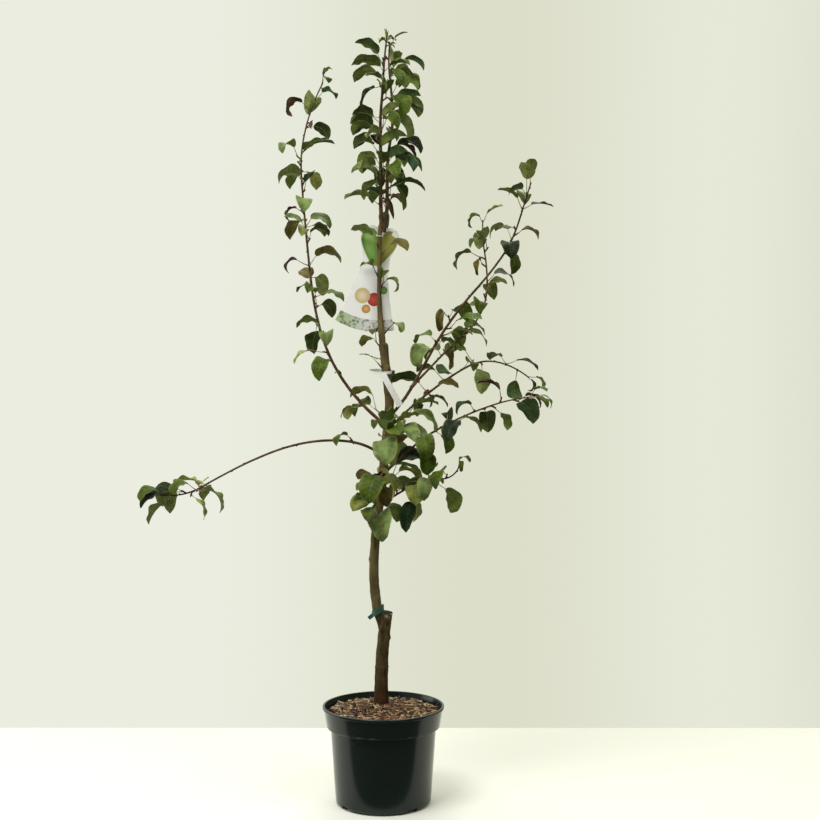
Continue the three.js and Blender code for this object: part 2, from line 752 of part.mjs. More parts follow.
// a band that closes on itself, level, round an oval
function ovalBand([x, y], [halfWidth, halfDepth], height, band, thickness) {
  const count = sides.band;
  const positions = [];
  const faces = [];
  for (let k = 0; k < count; k += 1) {
    const turn = (2 * Math.PI * k) / count;
    for (const [out, up] of [[1, -0.5], [1, 0.5], [0, 0.5], [0, -0.5]]) {
      positions.push(
        x + (halfWidth + out * thickness) * Math.cos(turn),
        y + (halfDepth + out * thickness) * Math.sin(turn),
        height + up * band,
      );
    }
    for (let i = 0; i < 4; i += 1) {
      const j = (i + 1) % 4;
      const [start, after] = [k * 4, ((k + 1) % count) * 4];
      faces.push(start + i, after + j, start + j, start + i, after + i, after + j);
    }
  }
  return new wasm.Manifold(new wasm.Mesh({
    numProp: 3,
    vertProperties: Float32Array.from(positions),
    triVerts: Uint32Array.from(faces),
  }));
}

const limbAt = (limb, height) => pointOn(limb, (height - limb.start[2]) / limb.length);

function makeCardLoop() {
  const { height, half, wire } = cardLoop;
  const middle = limbAt(trunkLimbs.leader, height);
  const centre = [middle.x, middle.y + half[1] - cardLoop.frontRoom];
  addPiece("label_loop", ovalBand(centre, half, height, wire, wire), colours.strip, 0.5);
}

// Strip label: a band looped loosely round the trunk, its folded end hanging to the right
function makeStrip() {
  const { loopCentre, loopHalf, loopHeight, band, thickness } = strip;
  const loop = ovalBand(loopCentre, loopHalf, loopHeight, band, thickness);
  const [x, z] = strip.top;
  const [endX, endZ] = strip.end;
  const length = Math.hypot(endX - x, endZ - z);
  const tail = new THREE.BoxGeometry(length, thickness, strip.width);
  tail.rotateY(-Math.atan2(endZ - z, endX - x));
  tail.translate((x + endX) / 2, strip.plane, (z + endZ) / 2);
  addPiece("label_strip", loop.add(solidFromGeometry(tail)), colours.strip, 0.5);
}

// Tie: a flat band round the graft, open where the cut stub stands, with a short loose end
function makeTie() {
  const { height, inside, thickness, tail, tailFall } = tie;
  const centre = limbAt(trunkLimbs.scion, height);
  const band = ovalBand([centre.x, centre.y], [inside, inside], height, tie.band, thickness);
  const tieSunk = 2; // the loose end's root, sunk into the band
  const end = new THREE.BoxGeometry(tail[0], thickness, tail[1]);
  end.translate(-tail[0] / 2, 0, 0);
  end.rotateY(radians(-tailFall));
  end.translate(centre.x - inside + tieSunk, centre.y - tieSunk, height);
  const solid = band.add(solidFromGeometry(end)).subtract(trunkRoom);
  addPiece("graft_tie", largest(solid), colours.tie, 0.4);
}

makePot();
makeMulch();

const trunkRoom = trunkSolid(clear);
addPiece("trunk", trunkSolid(0), colours.bark, 0.85);

function stationsOf(limb, from, to) {
  return Math.max(Math.round((limb.length * (to - from)) / stationStep) + 1, 2);
}

// a bough from its root to where its crown begins
function boughSolid(name, grow) {
  const limb = boughLimbs[name];
  const { from } = crowns[name];
  return limbSolid(limb, 0, from, stationsOf(limb, 0, from) + 1, sides.bough, grow);
}

// the room that the side shoots of a limb are cut clear of
function roomOf(name) {
  return boughLimbs[name] ? boughSolid(name, clear) : trunkRoom;
}

for (const name of Object.keys(boughLimbs)) {
  const bough = boughSolid(name, 0).subtract(roomOf(forkedFrom[name]));
  addPiece(`bough_${name}`, largest(bough), colours.bark, 0.8);
}

for (const [name, limb] of Object.entries(boughLimbs)) {
  const from = crowns[name].from + clear / limb.length;
  const solid = crownSolid(limb, crowns[name].leafy, from, stationsOf(limb, from, 1), sides.stem);
  addPiece(`leaves_${name}`, largest(solid), colours.leaf, 0.6);
}

const leftLeader = leaderLimbs.left_leader;
const leaderStations = stationsOf(leftLeader, 0, 1);
const leftRoom = limbSolid(leftLeader, 0, 1, leaderStations, sides.bough, clear);
const leaderRooms = { left_leader: trunkRoom, right_leader: trunkRoom.add(leftRoom) };
for (const [name, limb] of Object.entries(leaderLimbs)) {
  const solid = crownSolid(limb, crowns[name].leafy, 0, leaderStations, sides.bough);
  addPiece(`leaves_${name}`, largest(solid.subtract(leaderRooms[name])), colours.leaf, 0.6);
}

for (const [name, shoot] of Object.entries(shoots)) {
  const stretch = [1, 1, 1, shoot.leaves, shoot.seed];
  const solid = crownSolid(shoot.limb, [stretch], 0, 2, sides.twig, shoot.vigour);
  addPiece(`shoot_${name}`, largest(solid.subtract(roomOf(shoot.on))), colours.darkLeaf, 0.6);
}

makeCard();
makeCardLoop();
makeStrip();
makeTie();

export default tree;
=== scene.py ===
import math

import bpy
import numpy as np
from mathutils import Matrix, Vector


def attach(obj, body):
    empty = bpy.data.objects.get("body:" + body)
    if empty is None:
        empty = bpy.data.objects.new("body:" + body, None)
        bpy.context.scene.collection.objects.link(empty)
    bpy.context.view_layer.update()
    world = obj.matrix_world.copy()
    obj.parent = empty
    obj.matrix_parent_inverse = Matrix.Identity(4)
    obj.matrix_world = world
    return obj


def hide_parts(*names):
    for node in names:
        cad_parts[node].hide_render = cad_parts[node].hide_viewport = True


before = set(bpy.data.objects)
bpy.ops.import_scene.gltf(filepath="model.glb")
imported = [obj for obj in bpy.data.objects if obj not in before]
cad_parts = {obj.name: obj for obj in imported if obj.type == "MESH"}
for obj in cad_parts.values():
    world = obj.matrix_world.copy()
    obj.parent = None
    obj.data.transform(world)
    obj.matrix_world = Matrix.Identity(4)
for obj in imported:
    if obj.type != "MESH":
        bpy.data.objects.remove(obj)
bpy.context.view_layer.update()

# A young pear tree in its nursery pot. The growth rule below counts in millimetres and degrees,
# as the tree's source does, and the meshes are in metres.
mm = 0.001


# Camera and studio
cameraSetup = {
    # in metres, degrees and millimetres
    "place": (0.0548, -2.719, 0.873), "tiltDown": 1.38, "lens": 58.3, "sensor": 36.0,
}
studio = {
    "floor": "#fbfbf1", "floorBack": 0.575, "floorReach": 6.0,
    # the pale floor ends just before the pot, out of the picture, and goes on in a darker grey
    "frontFloor": "#5c5d58", "frontEdge": (-0.138, -0.121),
    # the room's colour from its front to its back: place and colour
    "room": [(0.3, "#b9b9b1"), (0.47, "#cccdc3"), (0.6, "#ebede0")],
    # how the room's light falls from the left side to the right: place and share, with the
    # share raised to a power for blue
    "fromLeft": [(0.3, 1.0), (0.42, 1.0), (0.53, 0.86), (0.61, 0.95), (0.8, 0.3)],
    "bluePower": 1.6,
    # each soft light: place, the point it faces, width, power in watts
    "lights": [
        ((-0.9, -1.3, 3.3), (0.0, 0.0, 0.7), 1.4, 62.0),
        ((1.5, -1.6, 2.9), (0.0, 0.0, 0.7), 1.2, 20.0),
        ((0.2, 1.5, 3.2), (0.0, 0.0, 0.5), 1.6, 22.0),
        ((-2.2, 0.45, 0.6), (0.0, 0.0, 0.3), 1.3, 8.0),
    ],
}


def linear(hexText):
    # sRGB hex text to linear colour with alpha
    values = np.array([int(hexText[i:i + 2], 16) for i in (1, 3, 5)]) / 255
    values = np.where(values <= 0.04045, values / 12.92, ((values + 0.055) / 1.055) ** 2.4)
    return (*values.tolist(), 1.0)


def shadeOf(colour, share):
    # a colour made lighter or darker by a share of its linear value
    return (*(min(value * share, 1.0) for value in linear(colour)[:3]), 1.0)


def makeCamera():
    lens = bpy.data.cameras.new("camera")
    lens.lens = cameraSetup["lens"]
    lens.sensor_width = cameraSetup["sensor"]
    camera = bpy.data.objects.new("camera", lens)
    camera.location = cameraSetup["place"]
    camera.rotation_euler = (math.radians(90 - cameraSetup["tiltDown"]), 0, 0)
    bpy.context.collection.objects.link(camera)
    bpy.context.scene.camera = camera


# Finishes: shader maths as plain expressions
class Wire:
    # one output of a node; arithmetic on it adds Math nodes
    def __init__(self, graph, node, output=0):
        self.graph = graph
        self.node = node
        self.output = output

    def at(self, output):
        # another output of the same node
        return Wire(self.graph, self.node, output)

    def math(self, operation, *values):
        return self.graph.node("ShaderNodeMath", {"operation": operation}, *values)

    def __add__(self, other):
        return self.math("ADD", self, other)

    def __sub__(self, other):
        return self.math("SUBTRACT", self, other)

    def __rsub__(self, other):
        return self.math("SUBTRACT", other, self)

    def __mul__(self, other):
        return self.math("MULTIPLY", self, other)

    def __pow__(self, other):
        return self.math("POWER", self, other)

    __radd__ = __add__
    __rmul__ = __mul__

    def abs(self):
        return self.math("ABSOLUTE", self)

    def wave(self):
        # a cosine with one crest to each whole number, from 0 to 1
        return self.math("COSINE", self * (2 * math.pi)) * 0.5 + 0.5

    def between(self, low, high):
        # 0 below low, 1 above high, with a smooth step from one to the other
        return self.graph.node(
            "ShaderNodeMapRange", {"interpolation_type": "SMOOTHSTEP"}, self, low, high,
        )


def asColour(value):
    return linear(value) if isinstance(value, str) else value


def setStops(ramp, stops):
    while len(ramp.elements) < len(stops):
        ramp.elements.new(1.0)
    for element, (place, colour) in zip(ramp.elements, stops):
        element.position = place
        element.color = asColour(colour)


class Graph:
    # the nodes of a material or of the room
    def __init__(self, owner):
        owner.use_nodes = True
        self.tree = owner.node_tree
        self.tree.nodes.clear()

    def node(self, kind, settings, *values, **named):
        # the settings are set first, a ramp's stops among them, and then the sockets, which are
        # given in their order or by their names
        made = self.tree.nodes.new(kind)
        owner = made.color_ramp if kind == "ShaderNodeValToRGB" else made
        for key, value in settings.items():
            if key == "stops":
                setStops(owner, value)
            else:
                setattr(owner, key, value)
        sockets = {socket.identifier.replace(" ", "_"): socket for socket in made.inputs}
        for key, value in [*enumerate(values), *named.items()]:
            self.feed(made.inputs[key] if isinstance(key, int) else sockets[key], value)
        return Wire(self, made)

    def feed(self, socket, value):
        # a wire is linked to the socket, and a number, a colour or a vector is set on it
        if isinstance(value, Wire):
            self.tree.links.new(value.node.outputs[value.output], socket)
        else:
            socket.default_value = asColour(value)

    def split(self, vector):
        # the three numbers of a vector
        numbers = self.node("ShaderNodeSeparateXYZ", {}, vector)
        return [numbers.at(axis) for axis in range(3)]


class Finish(Graph):
    # one material: fixed sockets are set on the shader, and what varies is linked to it
    def __init__(self, name, **fixed):
        self.material = bpy.data.materials.new(name)
        super().__init__(self.material)
        self.shader = self.node("ShaderNodeBsdfPrincipled", {}, **fixed)
        self.node("ShaderNodeOutputMaterial", {}, self.shader)

    def mixed(self, share, first, second):
        # from the first colour to the second; the Mix node's output 2 is its colour
        mix = self.node(
            "ShaderNodeMix", {"data_type": "RGBA"}, Factor_Float=share, A_Color=first,
            B_Color=second,
        )
        return mix.at(2)

    def place(self, stretch=(1, 1, 1)):
        # Object coordinates in metres, stretched for a pattern that runs along one axis
        coordinates = self.node("ShaderNodeTexCoord", {}).at("Object")
        return self.node("ShaderNodeMapping", {}, Vector=coordinates, Scale=stretch)

    def along(self, axis):
        return self.split(self.place())[axis]

    def uv(self):
        # the piece's own map: across and along
        return self.split(self.node("ShaderNodeUVMap", {}))[:2]

    def noise(self, scale, detail, stretch=(1, 1, 1)):
        return self.node(
            "ShaderNodeTexNoise", {}, Vector=self.place(stretch), Scale=scale, Detail=detail,
        )

    def cells(self, scale, stretch=(1, 1, 1)):
        # the distance from the nearest of many scattered points
        return self.node("ShaderNodeTexVoronoi", {}, Vector=self.place(stretch), Scale=scale)

    def relief(self, height, distance, strength):
        self.vary("Normal", self.node(
            "ShaderNodeBump", {}, Height=height, Distance=distance, Strength=strength,
        ))

    def vary(self, label, value):
        self.feed(self.shader.node.inputs[label], value)


# Meshes from arrays
def shells(points):
    # Closed tubes: points is [piece, ring, side, xyz]. Quads join each ring to the next, and the
    # mean of each end ring closes it with a fan. Returns the vertices, quads and triangles.
    pieces, rings, sides, _ = points.shape
    body = points.reshape(pieces, rings * sides, 3)
    poles = np.stack([points[:, 0].mean(axis=1), points[:, -1].mean(axis=1)], axis=1)
    vertices = np.concatenate([body, poles], axis=1)
    k, i = np.meshgrid(np.arange(rings - 1), np.arange(sides), indexing="ij")
    j = (i + 1) % sides
    quads = np.stack([k * sides + i, k * sides + j, (k + 1) * sides + j, (k + 1) * sides + i], -1)
    i = np.arange(sides)
    j = (i + 1) % sides
    last = (rings - 1) * sides
    first = np.stack([j, i, np.full(sides, rings * sides)], -1)
    end = np.stack([last + i, last + j, np.full(sides, rings * sides + 1)], -1)
    offsets = np.arange(pieces)[:, None, None] * vertices.shape[1]
    return (
        vertices.reshape(-1, 3),
        (quads.reshape(1, -1, 4) + offsets).reshape(-1, 4),
        (np.concatenate([first, end])[None] + offsets).reshape(-1, 3),
    )


def gathered(parts):
    # joins several results of shells into one
    base = 0
    vertices, quads, triangles = [], [], []
    for points, fours, threes in parts:
        vertices.append(points)
        quads.append(fours + base)
        triangles.append(threes + base)
        base += len(points)
    return np.concatenate(vertices), np.concatenate(quads), np.concatenate(triangles)


def makePiece(name, shape, materials, replaces, chosen=None, uv=None, sharp=40):
    # chosen gives each face's material, quads first; uv gives each vertex its own map
    vertices, quads, triangles = shape
    mesh = bpy.data.meshes.new(name)
    loops = np.concatenate([quads.ravel(), triangles.ravel()])
    starts = np.concatenate([
        np.arange(len(quads)) * 4, len(quads) * 4 + np.arange(len(triangles)) * 3,
    ])
    mesh.vertices.add(len(vertices))
    mesh.vertices.foreach_set("co", (vertices * mm).astype(np.float32).ravel())
    mesh.loops.add(len(loops))
    mesh.loops.foreach_set("vertex_index", loops.astype(np.int32))
    mesh.polygons.add(len(starts))
    mesh.polygons.foreach_set("loop_start", starts.astype(np.int32))
    for finish in materials:
        mesh.materials.append(finish.material)
    if chosen is not None:
        mesh.polygons.foreach_set("material_index", chosen.astype(np.int32))
    if uv is not None:
        layer = mesh.uv_layers.new(name="surface")
        layer.data.foreach_set("uv", uv[loops].astype(np.float32).ravel())
    mesh.update(calc_edges=True)
    mesh.polygons.foreach_set("use_smooth", np.ones(len(starts), dtype=bool))
    mesh.set_sharp_from_angle(angle=math.radians(sharp))
    piece = bpy.data.objects.new(name, mesh)
    bpy.context.collection.objects.link(piece)
    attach(piece, "root")
    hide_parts(*replaces)


def ripple(points, scale, seed, waves=14, spread=(0.6, 1.6)):
    # A smooth random field from about -1 to 1: the sum of sine waves in seeded directions, over
    # the root of twice their number, with scale * spread waves to a millimetre
    source = np.random.default_rng(seed)
    ways = source.normal(size=(waves, 3))
    ways *= scale * source.uniform(*spread, (waves, 1)) / np.linalg.norm(ways, axis=1)[:, None]
    phases = source.uniform(0, 2 * math.pi, waves)
    return np.sin(points @ ways.T * 2 * math.pi + phases).sum(axis=-1) / math.sqrt(2 * waves)


# Growth rule: the tree's limbs, as in its source
trunkLimbs = {
    "rootstock": {
        "start": (-5.4, 30, 191.3), "length": 197, "right": [0, 1, 3, 6, 9],
        "back": [0, 0, 0, 0, -1], "radii": [16, 14, 13.6, 12.9, 12.4, 12.2],
    },
    "scion": {
        "start": (-4.4, 30, 355.5), "length": 588,
        "right": [-15, -9, -4, 2, 4, 7, 9, 5, 4, 8, 4, -8, -6, -2],
        "back": [-1, -2, -2, -2, -2, -2, -1],
        "radii": [11.2, 10, 9.5, 9.3, 9.3, 9.2, 9.1, 8.7],
    },
    "leader": {
        "start": (-0.7, 12.2, 925), "length": 259.3, "right": [-2, -6, -3, 0, 1, 0, 4],
        "back": [-1, -1], "radii": [6.4, 6.9, 5.2, 4.6, 4.4, 4.3, 4.3],
    },
}

boughLimbs = {
    "upper_left": {
        "start": [1.2, 17.5, 778.2], "length": 773, "radii": [3.6, 3, 2.6, 2.2, 1.8, 1.5],
        "rise": [38, 53, 71, 81, 82, 83, 77, 63], "bearing": [173, 171, 163, 143, 134, 132, 26, 12],
    },
    "lower_left": {
        "start": [-0.9, 19.5, 712], "length": 485, "radii": [3.2, 2.6, 2.2, 1.8, 1.4],
        "rise": [38, 8, -7, -19, -25, -28, 9], "bearing": [204, 200, 200, 202, 203, 204, 202],
    },
    "upper_right": {
        "start": [13.6, 17, 794.7], "length": 553, "radii": [3.4, 2.9, 2.5, 2, 1.4],
        "rise": [45, 59, 60, 53, 47, 53, 70, 70],
        "bearing": [346, 340, 339, 342, 345, 342, 328, 325],
    },
    "inner_right": {
        "start": [62, 0, 858.7], "length": 410, "radii": [2.4, 2.1, 1.8, 1.4],
        "rise": [45, 45, 39, 59, 79, 76, 79], "bearing": [16, 16, 15, 22, 82, 129, 78],
    },
    "middle_right": {
        "start": [11.5, 17.8, 767.9], "length": 395, "radii": [2.8, 2.4, 2, 1.4],
        "rise": [41, 35, 32, 25, -12, -34], "bearing": [37, 33, 31, 28, 25, 29],
    },
    "low_right": {
        "start": [3.2, 20.5, 678.9], "length": 359, "radii": [2.7, 2.2, 1.8, 1.4],
        "rise": [38, 41, 29, 23, 17, 5], "bearing": [334, 332, 336, 337, 337, 338],
    },
    "lowest_right": {
        "start": [1, 22.4, 616.6], "length": 190, "radii": [2.4, 1.9, 1.4],
        "rise": [29, 31, 18, 3, 58], "bearing": [334, 333, 335, 336, 317],
    },
}
leaderLimbs = {
    "left_leader": {
        "start": [-2.5, 8, 1184.6], "length": 373, "radii": [4.2, 3.8, 3.2, 2.6, 1.6],
        "right": [-5, 0, 0, -1, 5, 3, 7], "back": [0, 0],
    },
    "right_leader": {
        "start": [0.5, 8, 1176], "length": 376, "radii": [3.8, 3.6, 3, 2.4, 1.5],
        "right": [15, -1, 2, 10, -3, -7, 6], "back": [2, 1],
    },
}
# limb, share of its length, bearing, rise, reach, leaves, vigour, seed
shoots = {
    "high_left": ("scion", 0.905, 190, 45, 18, 1, 1, 1686),
    "cut_left": ("scion", 0.98, 183, 45, 18, 2, 1, 1628),
    "cut_right": ("leader", 0.13, 348, 45, 18, 1, 1, 2767),
    "tag_right": ("leader", 0.5, 335, 50, 12, 2, 1, 324),
    "tag_left": ("leader", 0.59, 215, 50, 12, 2, 1, 858),
    "high_back": ("scion", 0.87, 80, 35, 20, 2, 1, 1285),
    "tag_front": ("leader", 0.81, 240, 50, 12, 1, 1, 2153),
    "tag_side": ("leader", 0.76, 350, 45, 12, 1, 1, 2917),
    "arm_under": ("upper_left", 0.075, 190, -20, 9, 2, 1, 285),
    "arm_side": ("upper_left", 0.145, 200, 50, 9, 1, 1, 260),
    "hook_side": ("lower_left", 0.15, 210, 50, 9, 2, 1, 658),
    "low_front": ("scion", 0.4, 270, 10, 20, 4, 1.7, 465),
    "low_middle": ("scion", 0.53, 255, 10, 20, 3, 1.7, 415),
    "low_corner": ("scion", 0.58, 300, 30, 14, 4, 1.5, 437),
    "low_right": ("scion", 0.62, 320, 50, 14, 3, 1.7, 721),
    "low_side": ("scion", 0.51, 0, 30, 14, 4, 1.7, 668),
    "low_nook": ("scion", 0.43, 20, 50, 20, 3, 1.5, 447),
    "low_left": ("scion", 0.44, 240, 10, 14, 4, 1.3, 301),
    "low_foot": ("scion", 0.43, 300, 10, 14, 3, 1.5, 619),
    "mid_corner": ("scion", 0.63, 320, 50, 20, 4, 1.7, 649),
    "mid_left": ("scion", 0.74, 150, 30, 28, 4, 1.7, 591),
    "mid_side": ("scion", 0.73, 20, 10, 28, 3, 1.7, 345),
    "mid_front": ("scion", 0.66, 270, 10, 28, 3, 1.7, 356),
    "back_low": ("scion", 0.47, 110, 50, 14, 4, 1.3, 175),
    "back_mid": ("scion", 0.7, 90, 10, 20, 3, 1.5, 666),
    "back_high": ("scion", 0.58, 70, 30, 20, 4, 1.3, 512),
}
# where a crown begins, then each leafy stretch: from, to, buds, leaves to a bud, seed
crowns = {
    "upper_left": (0.19, [
        (0.22, 0.32, 3, 1, 47), (0.37, 0.48, 3, 2, 299), (0.55, 0.63, 3, 2, 2643),
        (0.69, 0.8, 4, 1, 898), (0.87, 0.95, 2, 2, 1206), (1, 1, 1, 4, 1856),
    ]),
    "lower_left": (0.78, [(0.8, 0.9, 3, 2, 1174), (0.95, 0.95, 1, 2, 2020), (1, 1, 1, 4, 711)]),
    "upper_right": (0.26, [
        (0.29, 0.42, 3, 2, 2180), (0.74, 0.83, 3, 1, 60), (0.9, 0.96, 2, 2, 1275),
        (1, 1, 1, 3, 1990),
    ]),
    "inner_right": (0.16, [
        (0.2, 0.34, 2, 2, 955), (0.5, 0.68, 2, 2, 1476), (0.76, 0.92, 3, 1, 1908),
        (1, 1, 1, 3, 2587),
    ]),
    "middle_right": (0.2, [
        (0.23, 0.3, 2, 2, 903), (0.43, 0.68, 3, 1, 1982), (0.84, 1, 2, 2, 1008),
    ]),
    "low_right": (0.3, [
        (0.33, 0.47, 2, 2, 2082), (0.6, 0.82, 3, 1, 2704), (0.9, 0.9, 1, 2, 2786),
        (1, 1, 1, 3, 44),
    ]),
    "lowest_right": (0.12, [
        (0.18, 0.36, 2, 3, 1786), (0.5, 0.65, 2, 2, 1574), (0.8, 0.8, 1, 1, 470),
        (1, 1, 1, 2, 205),
    ]),
    "left_leader": (0, [
        (0.07, 0.2, 3, 1, 1656), (0.26, 0.38, 3, 2, 2382), (0.45, 0.58, 3, 2, 878),
        (0.68, 0.9, 4, 2, 1022), (1, 1, 1, 2, 303),
    ]),
    "right_leader": (0, [
        (0.1, 0.26, 3, 2, 1261), (0.33, 0.48, 3, 2, 2994), (0.55, 0.7, 3, 2, 2719),
        (0.77, 0.9, 3, 2, 1319), (1, 1, 1, 2, 2782),
    ]),
}
# finer growth: one small leaf at a bud midway between each two of the source's buds
finerBuds = {"leaves": 1, "vigour": 0.95, "seedStep": 1}
finerClear = {"limb": 1.5, "leaf": 4}
# the small leaves that unfold at the tops of the leaders: how many, vigour, seed
tufts = {"right_leader": (6, 0.36, 5), "left_leader": (5, 0.5, 12)}
tuftClear = {"limb": -4.0, "leaf": 0.5}
leafSize = {"petiole": [12, 30], "length": [44, 68], "width": [0.27, 0.36]}
leafPose = {
    "spread": [30, 80], "swing": [-25, 25], "lift": 0.4, "levelled": 0.7, "bend": [40, 140],
    "curl": [-40, 40], "roll": [-40, 40], "fold": [6, 36],
}
driedLeaf = {"share": 0.1, "bend": 1.5, "width": 0.55, "fold": 25}
youngLeaf = {"spread": 0.5, "length": 0.72}  # at the tip of a limb
leafClear = {"limb": 2.5, "leaf": 6, "card": 4}
shootTwig = {"radii": [1.7, 1.3], "uplift": 8}
spurTwig = {"length": [3, 9], "tilt": 50, "radii": [1.5, 1.2, 1.5]}
spiralTurn = 137.5  # from one bud to the next, round the limb
tipShare = 0.99  # a bud past this share of its limb's length is the limb's own tip
rootDepth = 1.5  # how far a leaf's root is sunk into its twig
leafTries = 10
retryTurn = 47
seedSteps = {"stretch": 1000, "bud": 100}
meetingReach = 130  # leaves whose middles are further apart than this aren't compared
traceStep = 10
bladeSteps = 12
outlinePower = 0.7
levelLimit = 0.05  # a heading with less than this of level in it is taken as upright
# where a leaf is tested for room: shares of its stalk, of its blade's length and half width
stalkStations = [0.4, 0.7, 1]
testStations = np.array([0.08, 0.22, 0.37, 0.52, 0.67, 0.82])
testAcross = np.array([-1, -0.5, 0, 0.5, 1])


def numbersFrom(seed):
    # state = state * 1664525 + 1013904223, modulo 2 to the 32, with the first number left out
    full = 2 ** 32
    state = seed * 2654435761 % full
    first = True
    while True:
        state = (state * 1664525 + 1013904223) % full
        if not first:
            yield state / full
        first = False


def drawn(bounds, share):
    return bounds[0] + (bounds[1] - bounds[0]) * share


def evenly(values, share):
    # an evenly spaced list, or rows of points, read at shares of its length
    values = np.asarray(values, dtype=float)
    place = np.clip(np.asarray(share, dtype=float), 0, 1) * (len(values) - 1)
    index = np.minimum(place.astype(int), len(values) - 2)
    rest = (place - index).reshape(place.shape + (1,) * (values.ndim - 1))
    return values[index] + (values[index + 1] - values[index]) * rest


def unit(vectors):
    return vectors / np.linalg.norm(vectors, axis=-1, keepdims=True)


def towards(rise, bearing):
    # the unit vector so far above level, turned from +X towards +Y
    rise, bearing = np.radians(rise), np.radians(bearing)
    level = np.cos(rise)
    return np.stack([level * np.cos(bearing), level * np.sin(bearing), np.sin(rise)], axis=-1)


def headingOf(limb, share):
    # by rise and bearing, or for an upright limb by its lean to the right and back
    if "rise" in limb:
        return towards(evenly(limb["rise"], share), evenly(limb["bearing"], share))
    right = np.tan(np.radians(evenly(limb["right"], share)))
    back = np.tan(np.radians(evenly(limb["back"], share)))
    return unit(np.stack([right, back, np.ones_like(right)], axis=-1))


def traceLimb(limb):
    # the limb's line: its start and the running sum of its headings
    steps = max(int(limb["length"] / traceStep + 0.5), 1)
    ways = headingOf(limb, (np.arange(steps) + 0.5) / steps) * limb["length"] / steps
    limb["line"] = np.concatenate([[limb["start"]], limb["start"] + np.cumsum(ways, axis=0)])


def squareTo(heading):
    # two directions square to a heading, the first one level
    level = np.array([-heading[1], heading[0], 0.0])
    if np.linalg.norm(level) < levelLimit:
        level = np.array([0.0, 1.0, 0.0])
    third = unit(np.cross(heading, unit(level)))
    return unit(np.cross(third, heading)), third


def outwards(heading, turn, tilt):
    # a direction tilted away from a heading, turned so far round it
    across, third = squareTo(heading)
    turn, tilt = math.radians(turn), math.radians(tilt)
    out = across * math.cos(turn) + third * math.sin(turn)
    return heading * math.cos(tilt) + out * math.sin(tilt)


def drawLeaf(root, heading, turn, young, vigour, seed):
    # a straight stalk out of its bud, then a blade whose midrib bends down as it goes; every
    # draw is made in this order, and the last four settle only the looks
    stream = numbersFrom(seed)
    spread = drawn(leafPose["spread"], next(stream)) * (youngLeaf["spread"] if young else 1)
    direction = outwards(heading, turn + drawn(leafPose["swing"], next(stream)), spread)
    direction = unit(direction + np.array([0, 0, leafPose["lift"]]))
    size = vigour * (youngLeaf["length"] if young else 1)
    petiole = drawn(leafSize["petiole"], next(stream)) * size
    length = drawn(leafSize["length"], next(stream)) * size
    width = drawn(leafSize["width"], next(stream)) * length
    bend, curl, roll, fold = (
        drawn(leafPose[kind], next(stream)) for kind in ("bend", "curl", "roll", "fold")
    )
    dried = next(stream) < driedLeaf["share"]
    leaf = {
        "root": root, "base": root + direction * petiole, "length": length, "young": young,
        "rise": math.degrees(math.asin(direction[2])) * leafPose["levelled"],
        "bearing": math.degrees(math.atan2(direction[1], direction[0])),
        "curl": curl, "roll": roll, "dried": dried,
        "width": width * (driedLeaf["width"] if dried else 1),
        "fold": fold + (driedLeaf["fold"] if dried else 0),
        "bend": bend * (driedLeaf["bend"] if dried else 1),
    }
    steps = bladeHeading(leaf, (np.arange(bladeSteps) + 0.5) / bladeSteps) * length / bladeSteps
    leaf["midrib"] = np.concatenate([[leaf["base"]], leaf["base"] + np.cumsum(steps, axis=0)])
    for kind in ("phase", "amount", "tint", "outline"):
        leaf[kind] = next(stream)
    return leaf


def bladeHeading(leaf, share):
    # the midrib's heading at a share of its length
    return towards(leaf["rise"] - leaf["bend"] * share, leaf["bearing"] + leaf["curl"] * share)


def bladeFrame(leaf, share):
    # the midrib's place, the way to the left edge and the face's way up
    heading = bladeHeading(leaf, share)
    bearing = np.radians(leaf["bearing"] + leaf["curl"] * share)
    level = np.stack([-np.sin(bearing), np.cos(bearing), np.zeros_like(bearing)], axis=-1)
    roll = math.radians(leaf["roll"])
    left = level * math.cos(roll) + np.cross(heading, level) * math.sin(roll)
    return evenly(leaf["midrib"], share), left, np.cross(heading, left)


def acrossBlade(leaf, share, across):
    # a grid over the blade: its half width is width * sin(pi * share ** outlinePower), and each
    # half is raised by the fold
    middle, left, up = (item[:, None] for item in bladeFrame(leaf, share))
    half = (leaf["width"] * np.sin(math.pi * share ** outlinePower))[:, None, None]
    fold = math.radians(leaf["fold"])
    across = across[None, :, None]
    return middle + (left * across * math.cos(fold) + up * np.abs(across) * math.sin(fold)) * half


def testPoints(leaf):
    # the stalk, the blade's tip and a coarse grid over the blade
    way = leaf["base"] - leaf["root"]
    stalk = [leaf["root"] + way * share for share in stalkStations]
    blade = acrossBlade(leaf, testStations, testAcross).reshape(-1, 3)
    return np.concatenate([stalk, [leaf["midrib"][-1]], blade])


def traceShoots():
    # each shoot's twig starts on its parent's line and turns up a little towards its tip
    made = {}
    for name, (parent, share, bearing, rise, reach, *_) in shoots.items():
        made[name] = {
            "start": evenly(limbs[parent]["line"], share), "radii": shootTwig["radii"],
            "length": reach + float(evenly(limbs[parent]["radii"], share)),
            "rise": [rise, rise + shootTwig["uplift"]], "bearing": [bearing, bearing],
        }
        traceLimb(made[name])
    return made


limbs = {**trunkLimbs, **boughLimbs, **leaderLimbs}
for limb in limbs.values():
    traceLimb(limb)
shootLimbs = traceShoots()

